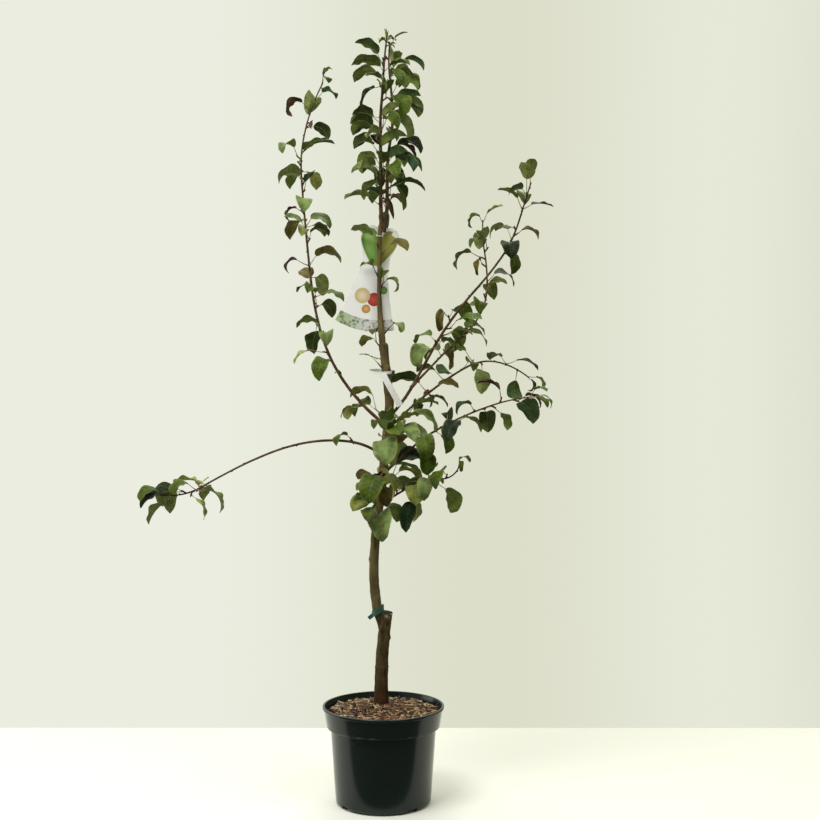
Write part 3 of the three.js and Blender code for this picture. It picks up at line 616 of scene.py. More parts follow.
# the hanging label, its loop, the strip label and the tie, as in the source
card = {
    "top": [-3, 20, 1184], "length": 205, "thickness": 1.2, "tilt": 10, "headRadius": 21.5,
    "headOffset": 19, "neckHalf": 27, "neckDrop": 66, "bottomHalf": 62, "bottomSag": 12,
}
cardLoop = {"height": 1166, "half": [6.5, 10.5], "frontRoom": 5.7}
strip = {
    "top": [-1, 881], "end": [35, 816], "plane": -1.6, "width": 15, "loopCentre": [-5.8, 15],
    "loopHalf": [23, 16], "loopHeight": 886, "band": 6,
}
tie = {"height": 390, "band": 11, "inside": 11.8, "tail": [15, 6], "tailFall": 25}

# what the leaves stay clear of: each straight step of each limb, and the strip label
stripLine = np.array([[x, strip["plane"], z] for x, z in (strip["top"], strip["end"])])
rooms = [(limb["line"], limb["radii"][1]) for limb in limbs.values()]
rooms.append((stripLine, strip["width"] / 2))
roomStarts = np.concatenate([line[:-1] for line, _ in rooms])
roomWays = np.concatenate([np.diff(line, axis=0) for line, _ in rooms])
roomRadii = np.concatenate([np.full(len(line) - 1, radius) for line, radius in rooms])
roomOwners = np.concatenate([np.full(len(line) - 1, k) for k, (line, _) in enumerate(rooms)])


def clearOfLimbs(points, gap, own=None):
    # by the distance of each point from each step, apart from the steps of the limb itself
    offsets = points[:, None] - roomStarts
    share = np.clip((offsets * roomWays).sum(-1) / (roomWays ** 2).sum(-1), 0, 1)
    gaps = np.linalg.norm(offsets - share[..., None] * roomWays, axis=-1)
    mine = roomOwners == (-1 if own is None else own)
    return bool(((gaps > roomRadii + gap) | mine).all())


def clearOfCard(points):
    # a leaf stays wholly in front of the hanging label or wholly behind it, where it comes near
    tilt, offset = math.radians(card["tilt"]), points - np.array(card["top"])
    across = offset[:, 0] * math.cos(tilt) - offset[:, 2] * math.sin(tilt)
    down = -offset[:, 0] * math.sin(tilt) - offset[:, 2] * math.cos(tilt)
    headHalf, margin = card["headOffset"] + card["headRadius"], leafClear["card"]
    half = headHalf + (card["bottomHalf"] - headHalf) * down / card["length"]
    near = (np.abs(across) < half + margin) & (down > -margin)
    near &= down < card["length"] + card["bottomSag"] + margin
    behind = offset[near, 1]
    return bool((behind < -margin).all() or (behind > card["thickness"] + margin).all())


def withinReach(points, reach):
    # inside the box from the lowest to the highest corner
    low, high = reach
    return bool(((points >= low) & (points <= high)).all())


takenRooms = []


def hasRoom(points, middle, clear):
    # clear of the limbs, the labels and the leaves before it
    if not clearOfLimbs(points, clear["limb"]) or not clearOfCard(points):
        return False
    if "reach" in clear and not withinReach(points, clear["reach"]):
        return False
    for taken, takenMiddle in takenRooms:
        if np.linalg.norm(takenMiddle - middle) <= meetingReach:
            if np.linalg.norm(points[:, None] - taken[None], axis=-1).min() <= clear["leaf"]:
                return False
    return True


def rosette(root, heading, count, turn, young, vigour, seed, clear):
    # leaves evenly round a bud; one that has no room is drawn again, turned and reseeded
    leaves = []
    for k in range(count):
        for attempt in range(leafTries):
            around = turn + 360 * k / count + retryTurn * attempt
            leafSeed = seed + k * leafTries + attempt
            leaf = drawLeaf(root, heading, around, young, vigour, leafSeed)
            points, middle = testPoints(leaf), leaf["midrib"][bladeSteps // 2]
            if hasRoom(points, middle, clear):
                takenRooms.append((points, middle))
                leaves.append(leaf)
                break
    return leaves


def growStretch(limb, stretch, clear, vigour=1, own=None):
    # buds evenly along a stretch: each is a short spur twig with a rosette of leaves, and the
    # limb's own tip carries its rosette with no twig
    start, end, count, leafCount, seed = stretch
    stream = numbersFrom(seed)
    firstTurn = 360 * next(stream)
    grown = {"twigs": [], "leaves": []}
    for i in range(count):
        share = start + (end - start) * i / (count - 1) if count > 1 else start
        young = share > tipShare
        heading = headingOf(limb, share)
        turn = firstTurn + spiralTurn * i
        twig = heading if young else outwards(heading, turn, spurTwig["tilt"])
        reach = 0
        if not young:
            reach = drawn(spurTwig["length"], next(stream)) + float(evenly(limb["radii"], share))
        foot = evenly(limb["line"], share)
        tip = foot + twig * reach
        if not young and not clearOfLimbs(tip[None], clear["limb"], own):
            continue
        if not young:
            grown["twigs"].append((foot, tip))
        root = tip - twig * rootDepth
        firstSeed = seed * seedSteps["stretch"] + i * seedSteps["bud"]
        grown["leaves"] += rosette(root, twig, leafCount, turn, young, vigour, firstSeed, clear)
    return grown


def growTree():
    # crowns first, in the order of their boughs, then the shoots, as in the source, then the
    # finer buds in the room that is left, within the reach of the source's leaves, and last the
    # tufts
    grown = {}
    names = list(limbs)
    for name in [*boughLimbs, *leaderLimbs]:
        for stretch in crowns[name][1]:
            result = growStretch(limbs[name], stretch, leafClear, 1, names.index(name))
            grown.setdefault("leaves_" + name, []).append(result)
    for name, limb in shootLimbs.items():
        *_, leaves, vigour, seed = shoots[name]
        result = growStretch(limb, (1, 1, 1, leaves, seed), leafClear, vigour)
        grown["shoot_" + name] = [result]
    taken = np.concatenate([points for points, _ in takenRooms])
    finer = {**finerClear, "reach": (taken.min(axis=0), taken.max(axis=0))}
    for name in [*boughLimbs, *leaderLimbs]:
        for start, end, count, _, seed in crowns[name][1]:
            if count > 1:
                half = (end - start) / (count - 1) / 2
                stretch = (
                    start + half, end - half, count - 1, finerBuds["leaves"],
                    seed + finerBuds["seedStep"],
                )
                result = growStretch(
                    limbs[name], stretch, finer, finerBuds["vigour"], names.index(name),
                )
                grown["leaves_" + name].append(result)
    for name, (count, vigour, seed) in tufts.items():
        result = growStretch(limbs[name], (1, 1, 1, count, seed), tuftClear, vigour)
        grown["leaves_" + name].append(result)
    return grown


def leavesOf(nodes):
    # each leaf of some nodes, with its node's name
    return [(leaf, node) for node in nodes for part in grown[node] for leaf in part["leaves"]]


def spursOf(nodes):
    # each spur twig of some nodes, by its foot and tip
    return [spur for node in nodes for part in grown[node] for spur in part["twigs"]]


grown = growTree()
print("leaves grown:", len(leavesOf(grown)))


# Bark: trunk, boughs, stems and shoots as tubes with relief
barkLook = {
    "trunkSides": 40, "stockStep": 2.0, "trunkStep": 2.2, "boughSides": 14, "boughStep": 3.0,
    "stemSides": 12, "spurSides": 8, "spurStep": 1.0, "leastSteps": 3,
    # a bough's bark runs on into its crown by this share of its length; a limb that starts more
    # upright than steep has its sections turned from +Y, and any other from +Z
    "overlap": 0.01, "steep": 0.9,
    "collarReach": 9.0, "collarShare": 0.5, "heelReach": 26.0,
    "heel": {"scion": 0.42, "leader": 0.0},
    "sunk": {"scion": 16.0, "leader": 6.0, "bough": 9.0, "stem": 4.0},
    # ripples of the radius: scale, seed and depth; the ridges are drawn out along the trunk
    "ridges": [(0.17, 3, 0.022)], "ridgeStretch": (1, 1, 0.16),
    "lumps": [(0.035, 4, 0.03), (0.3, 5, 0.008)],
    "youngLumps": [(0.05, 7, 0.05), (0.16, 8, 0.03)],
    # knots on the trunk: height, bearing, how far they stand out, half their size
    "knots": [
        (334, 340, 3.0, 5), (352, 250, 2.2, 6), (291, 215, 1.4, 5), (236, 300, 1.2, 6),
        (447, 300, 1.6, 5), (498, 190, 2.0, 5), (561, 262, 2.6, 6), (585, 20, 2.4, 6),
        (640, 215, 2.6, 7), (668, 300, 2.2, 6), (712, 170, 3.0, 8), (748, 285, 2.6, 7),
        (790, 30, 3.0, 8), (846, 250, 2.0, 6), (893, 320, 2.2, 6), (934, 200, 1.8, 6),
    ],
    # ring scars round the trunk: height, how far they stand out
    "rings": [(273, 0.8), (303, 0.4), (431, 0.5), (538, 0.5), (624, 0.6), (735, 0.6), (905, 0.5)],
    "ringReach": 1.6,
}
# the rings that close a limb's far end: share of the last radius, and how far on, in radii
limbTips = {
    "rounded": [(0.82, 0.46), (0.47, 0.7), (0.14, 0.8)],
    "cut": [(0.93, 0.05), (0.6, 0.09), (0.2, 0.1)],
}
shades = {
    "rootBark": "#30240e", "footBark": "#422716", "bark": "#56492d", "barkPale": "#766845",
    "barkDark": "#1d160b", "youngBark": "#493323", "youngBarkPale": "#685435",
    "youngLenticels": "#a08b6c", "cutWood": "#4d412a", "cutPale": "#a49c88",
}
# the cut stub of the stock: its paler facet faces the front right, above the facet's foot; its
# hollow is a spot of painted shade, not cut into the mesh: its centre and reach
graft = {
    "facetWay": (0.5, -0.87), "facetReach": 6.5, "facetFoot": 374.5, "facetEase": 4,
    "facetShown": 0.3, "hollow": (8.5, 18.0, 363.0), "hollowReach": 4.6,
}
# the last finish is a near-black painted shade for the stub's hollow and cut top
barks = ["bark", "youngBark", "cutWood", "cutTop"]


def ringsOf(centres, across, third, radii, sides):
    # round sections: centre + (across * cos(turn) + third * sin(turn)) * radius
    turns = np.arange(sides) * 2 * math.pi / sides
    out = across[:, None] * np.cos(turns)[:, None] + third[:, None] * np.sin(turns)[:, None]
    return centres[:, None] + out * radii[..., None], out


def tube(limb, start, end, step, sides, radiusOf, sunk=0.0, tip="rounded"):
    # rings round the limb's line, carried along without twist; sunk takes the root further back
    # into what carries it
    count = max(int(limb["length"] * (end - start) / step), barkLook["leastSteps"]) + 1
    shares = np.linspace(start, end, count)
    centres, headings = evenly(limb["line"], shares), headingOf(limb, shares)
    across = np.zeros_like(headings)
    steep = abs(headings[0][2]) > barkLook["steep"]
    way = np.cross([0.0, 1, 0] if steep else [0.0, 0, 1], headings[0])
    for k, heading in enumerate(headings):
        way = unit(way - heading * way.dot(heading))
        across[k] = way
    third = np.cross(headings, across)
    radii = evenly(limb["radii"], shares)
    reach = radii[:, None] * np.ones(sides)
    plain, _ = ringsOf(centres, across, third, reach, sides)
    reach = radiusOf(shares, plain, reach)
    points, out = ringsOf(centres, across, third, reach, sides)
    tipOut = out[-1] * reach[-1][:, None]
    tips = [
        centres[-1] + tipOut * share + headings[-1] * radii[-1] * ahead
        for share, ahead in limbTips[tip]
    ]
    rings = [points, np.stack(tips)]
    if sunk:
        rings.insert(0, points[:1] - headings[0] * sunk)
    return np.concatenate(rings)[None]


def lumpsOf(points, layers):
    # ripple * depth, summed over the layers
    return sum(ripple(points, scale, seed) * depth for scale, seed, depth in layers)


def collared(limb, share=barkLook["collarShare"]):
    # the root of a limb widens to a collar: share * radius * exp(-(distance / reach) ** 2)
    def radiusOf(shares, points, reach):
        distance = (shares * limb["length"])[:, None] / barkLook["collarReach"]
        lumps = lumpsOf(points, barkLook["youngLumps"])
        return reach * (1 + share * np.exp(-distance ** 2) + lumps)
    return radiusOf


def weathered(limb, heel=0.0):
    # old bark: long ridges, lumps, knots and ring scars on the limb's plain radius; a heel
    # narrows the limb's root, where it lies against the stock
    def radiusOf(shares, points, reach):
        distance = (shares * limb["length"])[:, None]
        reach = reach * (1 - heel * np.exp(-(distance / barkLook["heelReach"]) ** 2))
        ridges = lumpsOf(points * np.array(barkLook["ridgeStretch"]), barkLook["ridges"])
        grown = reach * (1 + ridges + lumpsOf(points, barkLook["lumps"]))
        height = points[..., 2]
        middle = points.mean(axis=1, keepdims=True)
        bearing = np.arctan2(points[..., 1] - middle[..., 1], points[..., 0] - middle[..., 0])
        for level, side, stand, size in barkLook["knots"]:
            turn = np.angle(np.exp(1j * (bearing - math.radians(side)))) * reach
            grown = grown + stand * np.exp(-((height - level) ** 2 + turn ** 2) / size ** 2)
        for level, stand in barkLook["rings"]:
            grown = grown + stand * np.exp(-((height - level) / barkLook["ringReach"]) ** 2)
        return grown
    return radiusOf


def makeBark():
    # the stock's stub is cut to a facet: what stands past its plane is moved back onto it
    sides, step = barkLook["trunkSides"], barkLook["trunkStep"]
    stock = limbs["rootstock"]
    root = tube(stock, 0, 1, barkLook["stockStep"], sides, weathered(stock), tip="cut")
    way = np.array([*graft["facetWay"], 0.0])
    past = (root - stock["line"][-1]) @ way - graft["facetReach"]
    above = np.clip((root[..., 2] - graft["facetFoot"]) / graft["facetEase"], 0, 1)
    root = root - (np.maximum(past, 0) * above)[..., None] * way
    tubes = [root]
    for name, heel in barkLook["heel"].items():
        limb = limbs[name]
        tubes.append(tube(limb, 0, 1, step, sides, weathered(limb, heel), barkLook["sunk"][name]))
    for name in boughLimbs:
        tubes.append(tube(
            limbs[name], 0, crowns[name][0] + barkLook["overlap"], barkLook["boughStep"],
            barkLook["boughSides"], collared(limbs[name]), barkLook["sunk"]["bough"],
        ))
    shape = gathered([shells(points) for points in tubes])
    # old bark on the trunk, young bark on the boughs, cut wood on the facet, and near-black painted
    # shade in the stub's hollow and on its top
    old, young, pale, dark = range(len(barks))
    counts = [(points.shape[1] - 1) * points.shape[2] for points in tubes]
    quads = len(shape[1])
    chosen = np.full(quads + len(shape[2]), old)
    chosen[sum(counts[:3]):quads] = young
    facet = ((past > 0) & (above > graft["facetShown"]))[0]
    chosen[:counts[0]][facet[:-1].ravel()] = pale
    # painted shade: the stub's hollow is only a dark spot on the bark, not a hole in the mesh
    hollow = np.linalg.norm(root[0, :-1] - np.array(graft["hollow"]), axis=-1)
    chosen[:counts[0]][hollow.ravel() < graft["hollowReach"]] = dark
    # painted shade on the stub's cut top: its closing rings and the fan that caps it
    chosen[counts[0] - len(limbTips["cut"]) * sides:counts[0]] = dark
    chosen[quads + sides:quads + 2 * sides] = dark
    makePiece(
        "barkOfTree", shape, [finishes[kind] for kind in barks],
        ["trunk", *["bough_" + name for name in boughLimbs]], chosen,
    )


def makeTwigs():
    # the stems inside the crowns, the leaders, the side shoots and the spur twigs
    tubes = []
    step = barkLook["boughStep"]
    for name in boughLimbs:
        limb = limbs[name]
        tubes.append(tube(
            limb, crowns[name][0], 1, step, barkLook["boughSides"], collared(limb, share=0),
        ))
    for limb in [*(limbs[name] for name in leaderLimbs), *shootLimbs.values()]:
        tubes.append(tube(
            limb, 0, 1, step, barkLook["stemSides"], collared(limb), barkLook["sunk"]["stem"],
        ))
    for foot, tip in spursOf(grown):
        way = unit(tip - foot)
        spur = {
            "line": np.array([foot, tip]), "length": float(np.linalg.norm(tip - foot)),
            "radii": spurTwig["radii"], "rise": [math.degrees(math.asin(way[2]))] * 2,
            "bearing": [math.degrees(math.atan2(way[1], way[0]))] * 2,
        }
        tubes.append(tube(
            spur, 0, 1, barkLook["spurStep"], barkLook["spurSides"], collared(spur),
        ))
    shape = gathered([shells(points) for points in tubes])
    makePiece("twigs", shape, [finishes["youngBark"]], foliageNodes)


# Leaves
bladeLook = {
    "stations": 22, "columns": 8, "ends": (0.012, 0.985), "thickness": 0.55, "thinning": 0.6,
    "toothReach": 0.03, "fullness": 0.62, "widest": (0.72, 0.98), "tip": 0.86, "tipCut": 0.5,
    # the halves rise from the midrib and arch over, and their edges wave along the blade
    "rise": 1.25, "arch": 0.45, "wave": 0.1, "waves": 2.2, "crumple": 0.6, "driedCrumple": 3.0,
    "foldSpread": 0.6, "leaderFold": 24, "sharp": 75,
}
stalkLook = {
    "sides": 6, "rings": 6, "sag": 0.04, "radii": (1.0, 0.62), "foot": 0.45, "footFade": 8,
    # the stalk runs on under the blade as its midrib
    "ribRings": 11, "ribEnds": (0.06, 0.97), "ribRadii": (0.6, 0.16), "ribDrop": 0.15,
    "pinkPast": 0.55,
}
leafTints = {
    "deep": ("#15200a", "#445228"), "mid": ("#465718", "#6d7c3b"), "blue": ("#213a1e", "#4c6238"),
    "light": ("#697a43", "#849053"), "yellow": ("#8a9146", "#979a53"),
    "bronze": ("#605729", "#746a3a"), "dried": ("#34241a", "#4c3826"),
}
tintNames = list(leafTints)
# how the tints are dealt out to a node's leaves, as shares in the order of the list above
tintShares = {
    "leaves": [0.3, 0.34, 0.1, 0.18, 0.04, 0.04, 0],
    "leaves_left_leader": [0.18, 0.42, 0.1, 0.24, 0.02, 0.04, 0],
    "leaves_right_leader": [0.18, 0.42, 0.1, 0.24, 0.02, 0.04, 0],
    "leaves_upper_left": [0.16, 0.34, 0.06, 0.32, 0.08, 0.04, 0],
    "leaves_lower_left": [0.02, 0.2, 0, 0.56, 0.2, 0.02, 0],
    "leaves_upper_right": [0.2, 0.36, 0.1, 0.28, 0.04, 0.02, 0],
    "leaves_inner_right": [0.16, 0.36, 0.1, 0.3, 0.06, 0.02, 0],
    "leaves_lowest_right": [0.06, 0.24, 0.05, 0.4, 0.21, 0.04, 0],
    "leaves_low_right": [0.34, 0.4, 0.06, 0.16, 0.02, 0.02, 0],
    "shoot": [0.38, 0.3, 0.25, 0.05, 0.01, 0.01, 0],
    "young": [0.05, 0.25, 0, 0.3, 0.25, 0.15, 0],
    "tip": [0, 0, 0, 0.2, 0.6, 0.2, 0],
}
# where a dried leaf is bronze and not brown
bronzeNodes = [
    "leaves_lower_left", "leaves_upper_right", "leaves_inner_right", "leaves_middle_right",
]


def bladeShell(leaf, folded):
    # the blade's rings: across the face from left to right, then back under it. The source's
    # surface gets a fuller outline, width * sin(pi * share ** widest) ** fullness, drawn in to a
    # short tip, with toothed edges; across each half the surface stands
    # rise * sin(fold) * t - arch * sin(fold) * t ** 2 half widths high, with a wave that grows
    # to the edge, and folded raises both halves further
    look = bladeLook
    share = np.linspace(*look["ends"], look["stations"])
    across = np.linspace(1, -1, look["columns"] + 1)
    middle, left, up = (item[:, None] for item in bladeFrame(leaf, share))
    teeth = 1 - look["toothReach"] * (np.arange(len(share)) % 2)
    half = np.sin(math.pi * share ** drawn(look["widest"], leaf["outline"]))
    past = np.clip((share - look["tip"]) / (1 - look["tip"]), 0, 1)
    half = half ** look["fullness"] * (1 - look["tipCut"] * past)
    half = (leaf["width"] * half * teeth)[:, None, None]
    fold = math.radians(leaf["fold"] + folded * (1 - leaf["amount"] * look["foldSpread"]))
    t = across[None, :, None]
    s = share[:, None, None]
    wave = np.sin(2 * math.pi * (look["waves"] * s + leaf["phase"] + 0.25 * np.sign(t))) * t ** 2
    arch = np.abs(t) * math.sin(fold) * look["rise"] - t ** 2 * math.sin(fold) * look["arch"]
    crumple = look["driedCrumple"] if leaf["dried"] else look["crumple"] + leaf["amount"]
    lift = arch + wave * look["wave"] * crumple
    surface = middle + (left * t * math.cos(fold) + up * lift) * half
    thick = look["thickness"] / 2 * (1 - look["thinning"] * t ** 2)
    face, back = surface + up * thick, surface - up * thick
    ring = np.concatenate([face, back[:, -2:0:-1]], axis=1)
    u = np.concatenate([across, across[-2:0:-1]])
    uv = np.stack(np.broadcast_arrays((u[None] + 1) / 2, share[:, None]), axis=-1)
    return ring, uv


def stalkShell(leaf):
    # the stalk sags by sag * length * sin(pi * t) and thickens at its foot; it runs on as the
    # midrib under the blade and thins to its tip
    look = stalkLook
    count = look["rings"]
    t = np.linspace(0, 1, count)[:, None]
    way = leaf["base"] - leaf["root"]
    sag = np.sin(math.pi * t) * np.array([0, 0, -look["sag"]]) * np.linalg.norm(way)
    share = np.linspace(*look["ribEnds"], look["ribRings"])
    middle, left, up = bladeFrame(leaf, share)
    centres = np.concatenate([leaf["root"] + way * t + sag, middle - up * look["ribDrop"]])
    ahead = unit(np.gradient(centres, axis=0))
    side = np.concatenate([np.repeat(left[:1], count, axis=0), left])
    side = unit(side - ahead * (side * ahead).sum(-1, keepdims=True))
    foot = look["foot"] * np.exp(-np.linspace(0, look["footFade"], count))
    radii = np.concatenate([
        np.linspace(*look["radii"], count) + foot,
        np.linspace(*look["ribRadii"], look["ribRings"]),
    ])
    return ringsOf(centres, side, np.cross(ahead, side), radii[:, None], look["sides"])[0]


def tintOf(leaf, node):
    # a dried leaf is brown, or only bronze on some boughs, and no other leaf gets the last tint,
    # which is the brown one
    if leaf["dried"] and not leaf["young"]:
        return tintNames.index("bronze" if node in bronzeNodes else "dried")
    if leaf["young"]:
        shares = tintShares["tip" if node.endswith("leader") else "young"]
    else:
        shares = tintShares.get(node, tintShares[node.split("_")[0]])
    return min(int(np.searchsorted(np.cumsum(shares), leaf["tint"])), len(tintNames) - 2)


def makeBlades(name, nodes, folded=0):
    # the blades of some nodes as one piece; each tint has a finish for the face and one under it
    leaves = leavesOf(nodes)
    rings, maps = zip(*(bladeShell(leaf, folded) for leaf, _ in leaves))
    points = np.stack(rings)
    count, stations, sides, _ = points.shape
    ends = np.stack([maps[0][0].mean(axis=0), maps[0][-1].mean(axis=0)])
    uv = np.tile(np.concatenate([maps[0].reshape(-1, 2), ends]), (count, 1))
    tints = np.array([tintOf(leaf, node) for leaf, node in leaves])
    under = (np.arange(sides) >= sides // 2).astype(int)
    quadChoice = tints[:, None, None] * 2 + np.tile(under, (stations - 1, 1))[None]
    fanChoice = np.repeat(tints * 2, 2 * sides)
    chosen = np.concatenate([quadChoice.ravel(), fanChoice])
    used, chosen = np.unique(chosen, return_inverse=True)
    materials = [finishes[tintNames[k // 2] + ("Under" if k % 2 else "Leaf")] for k in used]
    makePiece(name, shells(points), materials, nodes, chosen, uv, sharp=bladeLook["sharp"])


def makeStalks():
    # a dried leaf's stalk is brown, and the others are green or pinkish
    leaves = [leaf for leaf, _ in leavesOf(grown)]
    points = np.stack([stalkShell(leaf) for leaf in leaves])
    _, rings, sides, _ = points.shape
    pink = np.array([leaf["outline"] > stalkLook["pinkPast"] for leaf in leaves])
    choice = np.where([leaf["dried"] for leaf in leaves], 2, pink * 1)
    chosen = np.concatenate([
        np.repeat(choice, (rings - 1) * sides), np.repeat(choice, 2 * sides),
    ])
    materials = [finishes[kind] for kind in ("stalk", "pinkStalk", "driedLeaf")]
    makePiece("leafStalks", shells(points), materials, foliageNodes, chosen)


budLook = {
    "every": 27.0, "length": 4.6, "radius": 1.35, "tilt": 24, "sides": 6, "setBack": 0.3,
    "firstTurn": 40, "seat": 0.75, "sideSize": 0.9,
    # the bud at the limb's tip and the one at a spur's tip: how far it is sunk, and its size
    "limbTip": (0.5, 1.25), "spurTip": (0.8, 1.15),
    "stations": [0, 0.12, 0.3, 0.5, 0.7, 0.86, 0.97],
    # radius * sin(pi * (start + (1 - start) * t) ** power) ** fullness along the bud
    "start": 0.12, "power": 1.15, "fullness": 0.9,
}


def makeBuds():
    # pointed buds in a spiral along every bough and leader, and one at each spur's tip
    look = budLook
    places = []
    tipSunk, tipSize = look["limbTip"]
    for name in [*boughLimbs, *leaderLimbs]:
        limb = limbs[name]
        count = int(limb["length"] / look["every"])
        for k in range(1, count + 1):
            share = k / count - look["setBack"] / count
            heading = headingOf(limb, share)
            turn = spiralTurn * k + look["firstTurn"]
            side = outwards(heading, turn, 90)
            radius = float(evenly(limb["radii"], share))
            root = evenly(limb["line"], share) + side * radius * look["seat"]
            places.append((root, outwards(heading, turn, look["tilt"]), look["sideSize"]))
        heading = headingOf(limb, 1.0)
        places.append((limb["line"][-1] - heading * tipSunk, heading, tipSize))
    spurSunk, spurSize = look["spurTip"]
    for foot, tip in spursOf(grown):
        way = unit(tip - foot)
        places.append((tip - way * spurSunk, way, spurSize))
    t = np.array(look["stations"])
    share = (look["start"] + (1 - look["start"]) * t) ** look["power"]
    profile = look["radius"] * np.sin(math.pi * share) ** look["fullness"]
    rings = []
    for root, way, size in places:
        centres = root + way * (t * look["length"] * size)[:, None]
        across, third = (np.tile(item, (len(t), 1)) for item in squareTo(way))
        rings.append(ringsOf(centres, across, third, (profile * size)[:, None], look["sides"])[0])
    makePiece("buds", shells(np.stack(rings)), [finishes["bud"]], foliageNodes)


# Pot
potLook = {
    "footRadius": 98, "shoulderRadius": 108.5, "corner": 6, "wall": 2, "floor": 2.5,
    "bandFoot": 158, "bandRadius": 116.5, "bandTop": 121.5, "lipFoot": 194, "radius": 125,
    "height": 200, "sides": 360, "notchHeight": 7.5, "notchWidth": 24, "notchRadius": 85,
    "notches": 4, "firstNotch": 38.5, "notchEdge": 0.3, "pole": 0.4, "sharp": 35,
    "lipRise": 1, "lipWall": 1.2, "bandWall": 2.5, "bandSlope": 12,
    # how far the profile's corners are rounded, first up the outside, then down the inside
    "rounding": [0, 0, 4, 0.8, 1.2, 0.8, 1.3, 1.6, 1.0, 2, 1.5, 0, 0, 0],
    # the wall is never quite round: waves round it, where they start, and their share
    "waves": [(2, 0.6, 0.0015), (5, 0.0, 0.0006)],
    "plastic": ("#15201d", "#1f2b28"), "scuffed": "#2c3031", "rubbed": "#7c8480",
    "rubbedAbove": 1, "rubbedReach": (0.5, 4),
}


def rounded(corner, before, after, radius, count=6):
    # rounds a corner of a profile by (1 - t) ** 2 * start + 2 * t * (1 - t) * corner +
    # t ** 2 * end, which starts and ends where an arc of that radius would touch
    corner, before, after = (np.array(item, dtype=float) for item in (corner, before, after))
    back, ahead = unit(before - corner), unit(after - corner)
    cut = radius / math.tan(math.acos(np.clip(back @ ahead, -1, 1)) / 2)
    t = np.linspace(0, 1, count)[:, None]
    start, end = corner + back * cut, corner + ahead * cut
    return ((1 - t) ** 2 * start + 2 * t * (1 - t) * corner + t ** 2 * end).tolist()


def makePot():
    # a profile turned about the pot's axis, whose corners are given by radius and height
    p = potLook
    inside = p["footRadius"] - p["wall"]
    corners = [
        (p["pole"], 0), (p["footRadius"] - p["corner"], 0), (p["footRadius"], p["corner"]),
        (p["shoulderRadius"], p["bandFoot"]), (p["bandRadius"], p["bandFoot"]),
        (p["bandTop"], p["lipFoot"]), (p["radius"], p["lipFoot"] + p["lipRise"]),
        (p["radius"], p["height"]), (p["bandTop"] - p["lipWall"], p["height"]),
        (p["bandRadius"] - p["bandWall"], p["bandFoot"] + p["bandSlope"]),
        (p["shoulderRadius"] - p["wall"], p["bandFoot"]), (inside, p["floor"] + p["corner"]),
        (inside - p["corner"], p["floor"]), (p["pole"], p["floor"]),
    ]
    profile = []
    for k, (corner, radius) in enumerate(zip(corners, p["rounding"])):
        if radius:
            profile += rounded(corner, corners[k - 1], corners[k + 1], radius)
        else:
            profile.append(list(corner))
    profile = np.array(profile)
    # two more rings at the notches' top
    outer = profile[:, 1].argmax()
    rise = profile[:outer + 1]
    for height in (p["notchHeight"], p["notchHeight"] + p["notchEdge"]):
        place = int(np.searchsorted(rise[:, 1], height))
        radius = np.interp(height, rise[:, 1], rise[:, 0])
        rise = np.insert(rise, place, [radius, height], axis=0)
    profile = np.concatenate([rise, profile[outer + 1:]])
    turns = np.arange(p["sides"]) * 2 * math.pi / p["sides"]
    radii = np.repeat(profile[:, :1], p["sides"], axis=1)
    heights = np.repeat(profile[:, 1:], p["sides"], axis=1)
    # the notches are pressed in below their top, evenly round the foot
    around = np.exp(1j * p["notches"] * (turns - math.radians(p["firstNotch"])))
    offset = np.angle(around) / p["notches"]
    inNotch = np.abs(offset) * p["footRadius"] < p["notchWidth"] / 2
    below = heights < p["notchHeight"] + p["notchEdge"] / 3
    below &= (np.arange(len(profile)) <= outer)[:, None]
    radii = np.where(inNotch[None] & below, np.minimum(radii, p["notchRadius"]), radii)
    uneven = 1
    for count, phase, share in p["waves"]:
        uneven = uneven + share * np.sin(count * turns + phase)
    radii = radii * uneven
    points = np.stack([radii * np.cos(turns), radii * np.sin(turns), heights], axis=-1)
    makePiece(
        "potShell", shells(points[None]), [finishes["plastic"]], ["pot"],
        sharp=p["sharp"],
    )


# Mulch
mulchLook = {
    "edgeRadius": 117.0, "edgeHeight": 188.0, "flatRadius": 62.0, "height": 191.0,
    # the bed under the chips: how far it lies below them, its ripple (scale, seed and depth), the
    # number of its sides and rings, and its outline below the top, by radius and height
    "drop": 1.6, "ripple": (0.03, 21, 1.2), "sides": 96, "rings": 30, "gap": 0.6, "pole": 0.5,
    "innerRing": 4, "skirt": [(0.5, 3.2), (88, 3.2), (105.5, 150)], "skirtTop": 172,
    "colours": ["#a4845d", "#77593a", "#513b26", "#cab594", "#281c13", "#71402b"],
    "shares": [0.22, 0.22, 0.2, 0.12, 0.2, 0.04], "soil": ("#150e09", "#352417"),
}
chipLook = {
    "count": 1900, "seed": 11, "length": (8, 27), "shortness": 1.4, "width": (2.0, 4.6),
    "thickness": (0.9, 2.4), "edgeGap": 2, "inset": 0.45, "layer": 3.4, "seat": 0.6,
    # most chips lie nearly flat and some stand up more: spreads of their rise, and shares
    "rises": [9, 26], "riseShares": [0.75, 0.25], "roll": 28,
    # along a chip: places, shares of its width, and how far it may be bowed
    "stations": [-0.5, -0.38, 0.0, 0.36, 0.5], "taper": [0.45, 0.95, 1.0, 0.85, 0.3], "bow": 0.25,
    "corners": [[1, 0.8], [-1, 1], [-0.85, -1], [1, -0.9]], "jitter": 0.22,
    # the redder chips lie near this place
    "redPlace": (8, -78), "redReach": 42, "redShare": 0.5,
    # some chips lean on the trunk's foot
    "leaning": 110, "foot": (-5.4, 30), "footRadius": (13, 30), "pile": 0.4, "leanSpread": 50,
    "leanRise": 8, "sharp": 30,
}


def mulchHeight(x, y):
    # flat in the middle and falling to the edge, with a slow ripple
    m = mulchLook
    plain = np.interp(
        np.hypot(x, y), [m["flatRadius"], m["edgeRadius"]], [m["height"], m["edgeHeight"]],
    )
    scale, seed, depth = m["ripple"]
    return plain - m["drop"] + ripple(np.stack([x, y, 0 * x], axis=-1), scale, seed) * depth


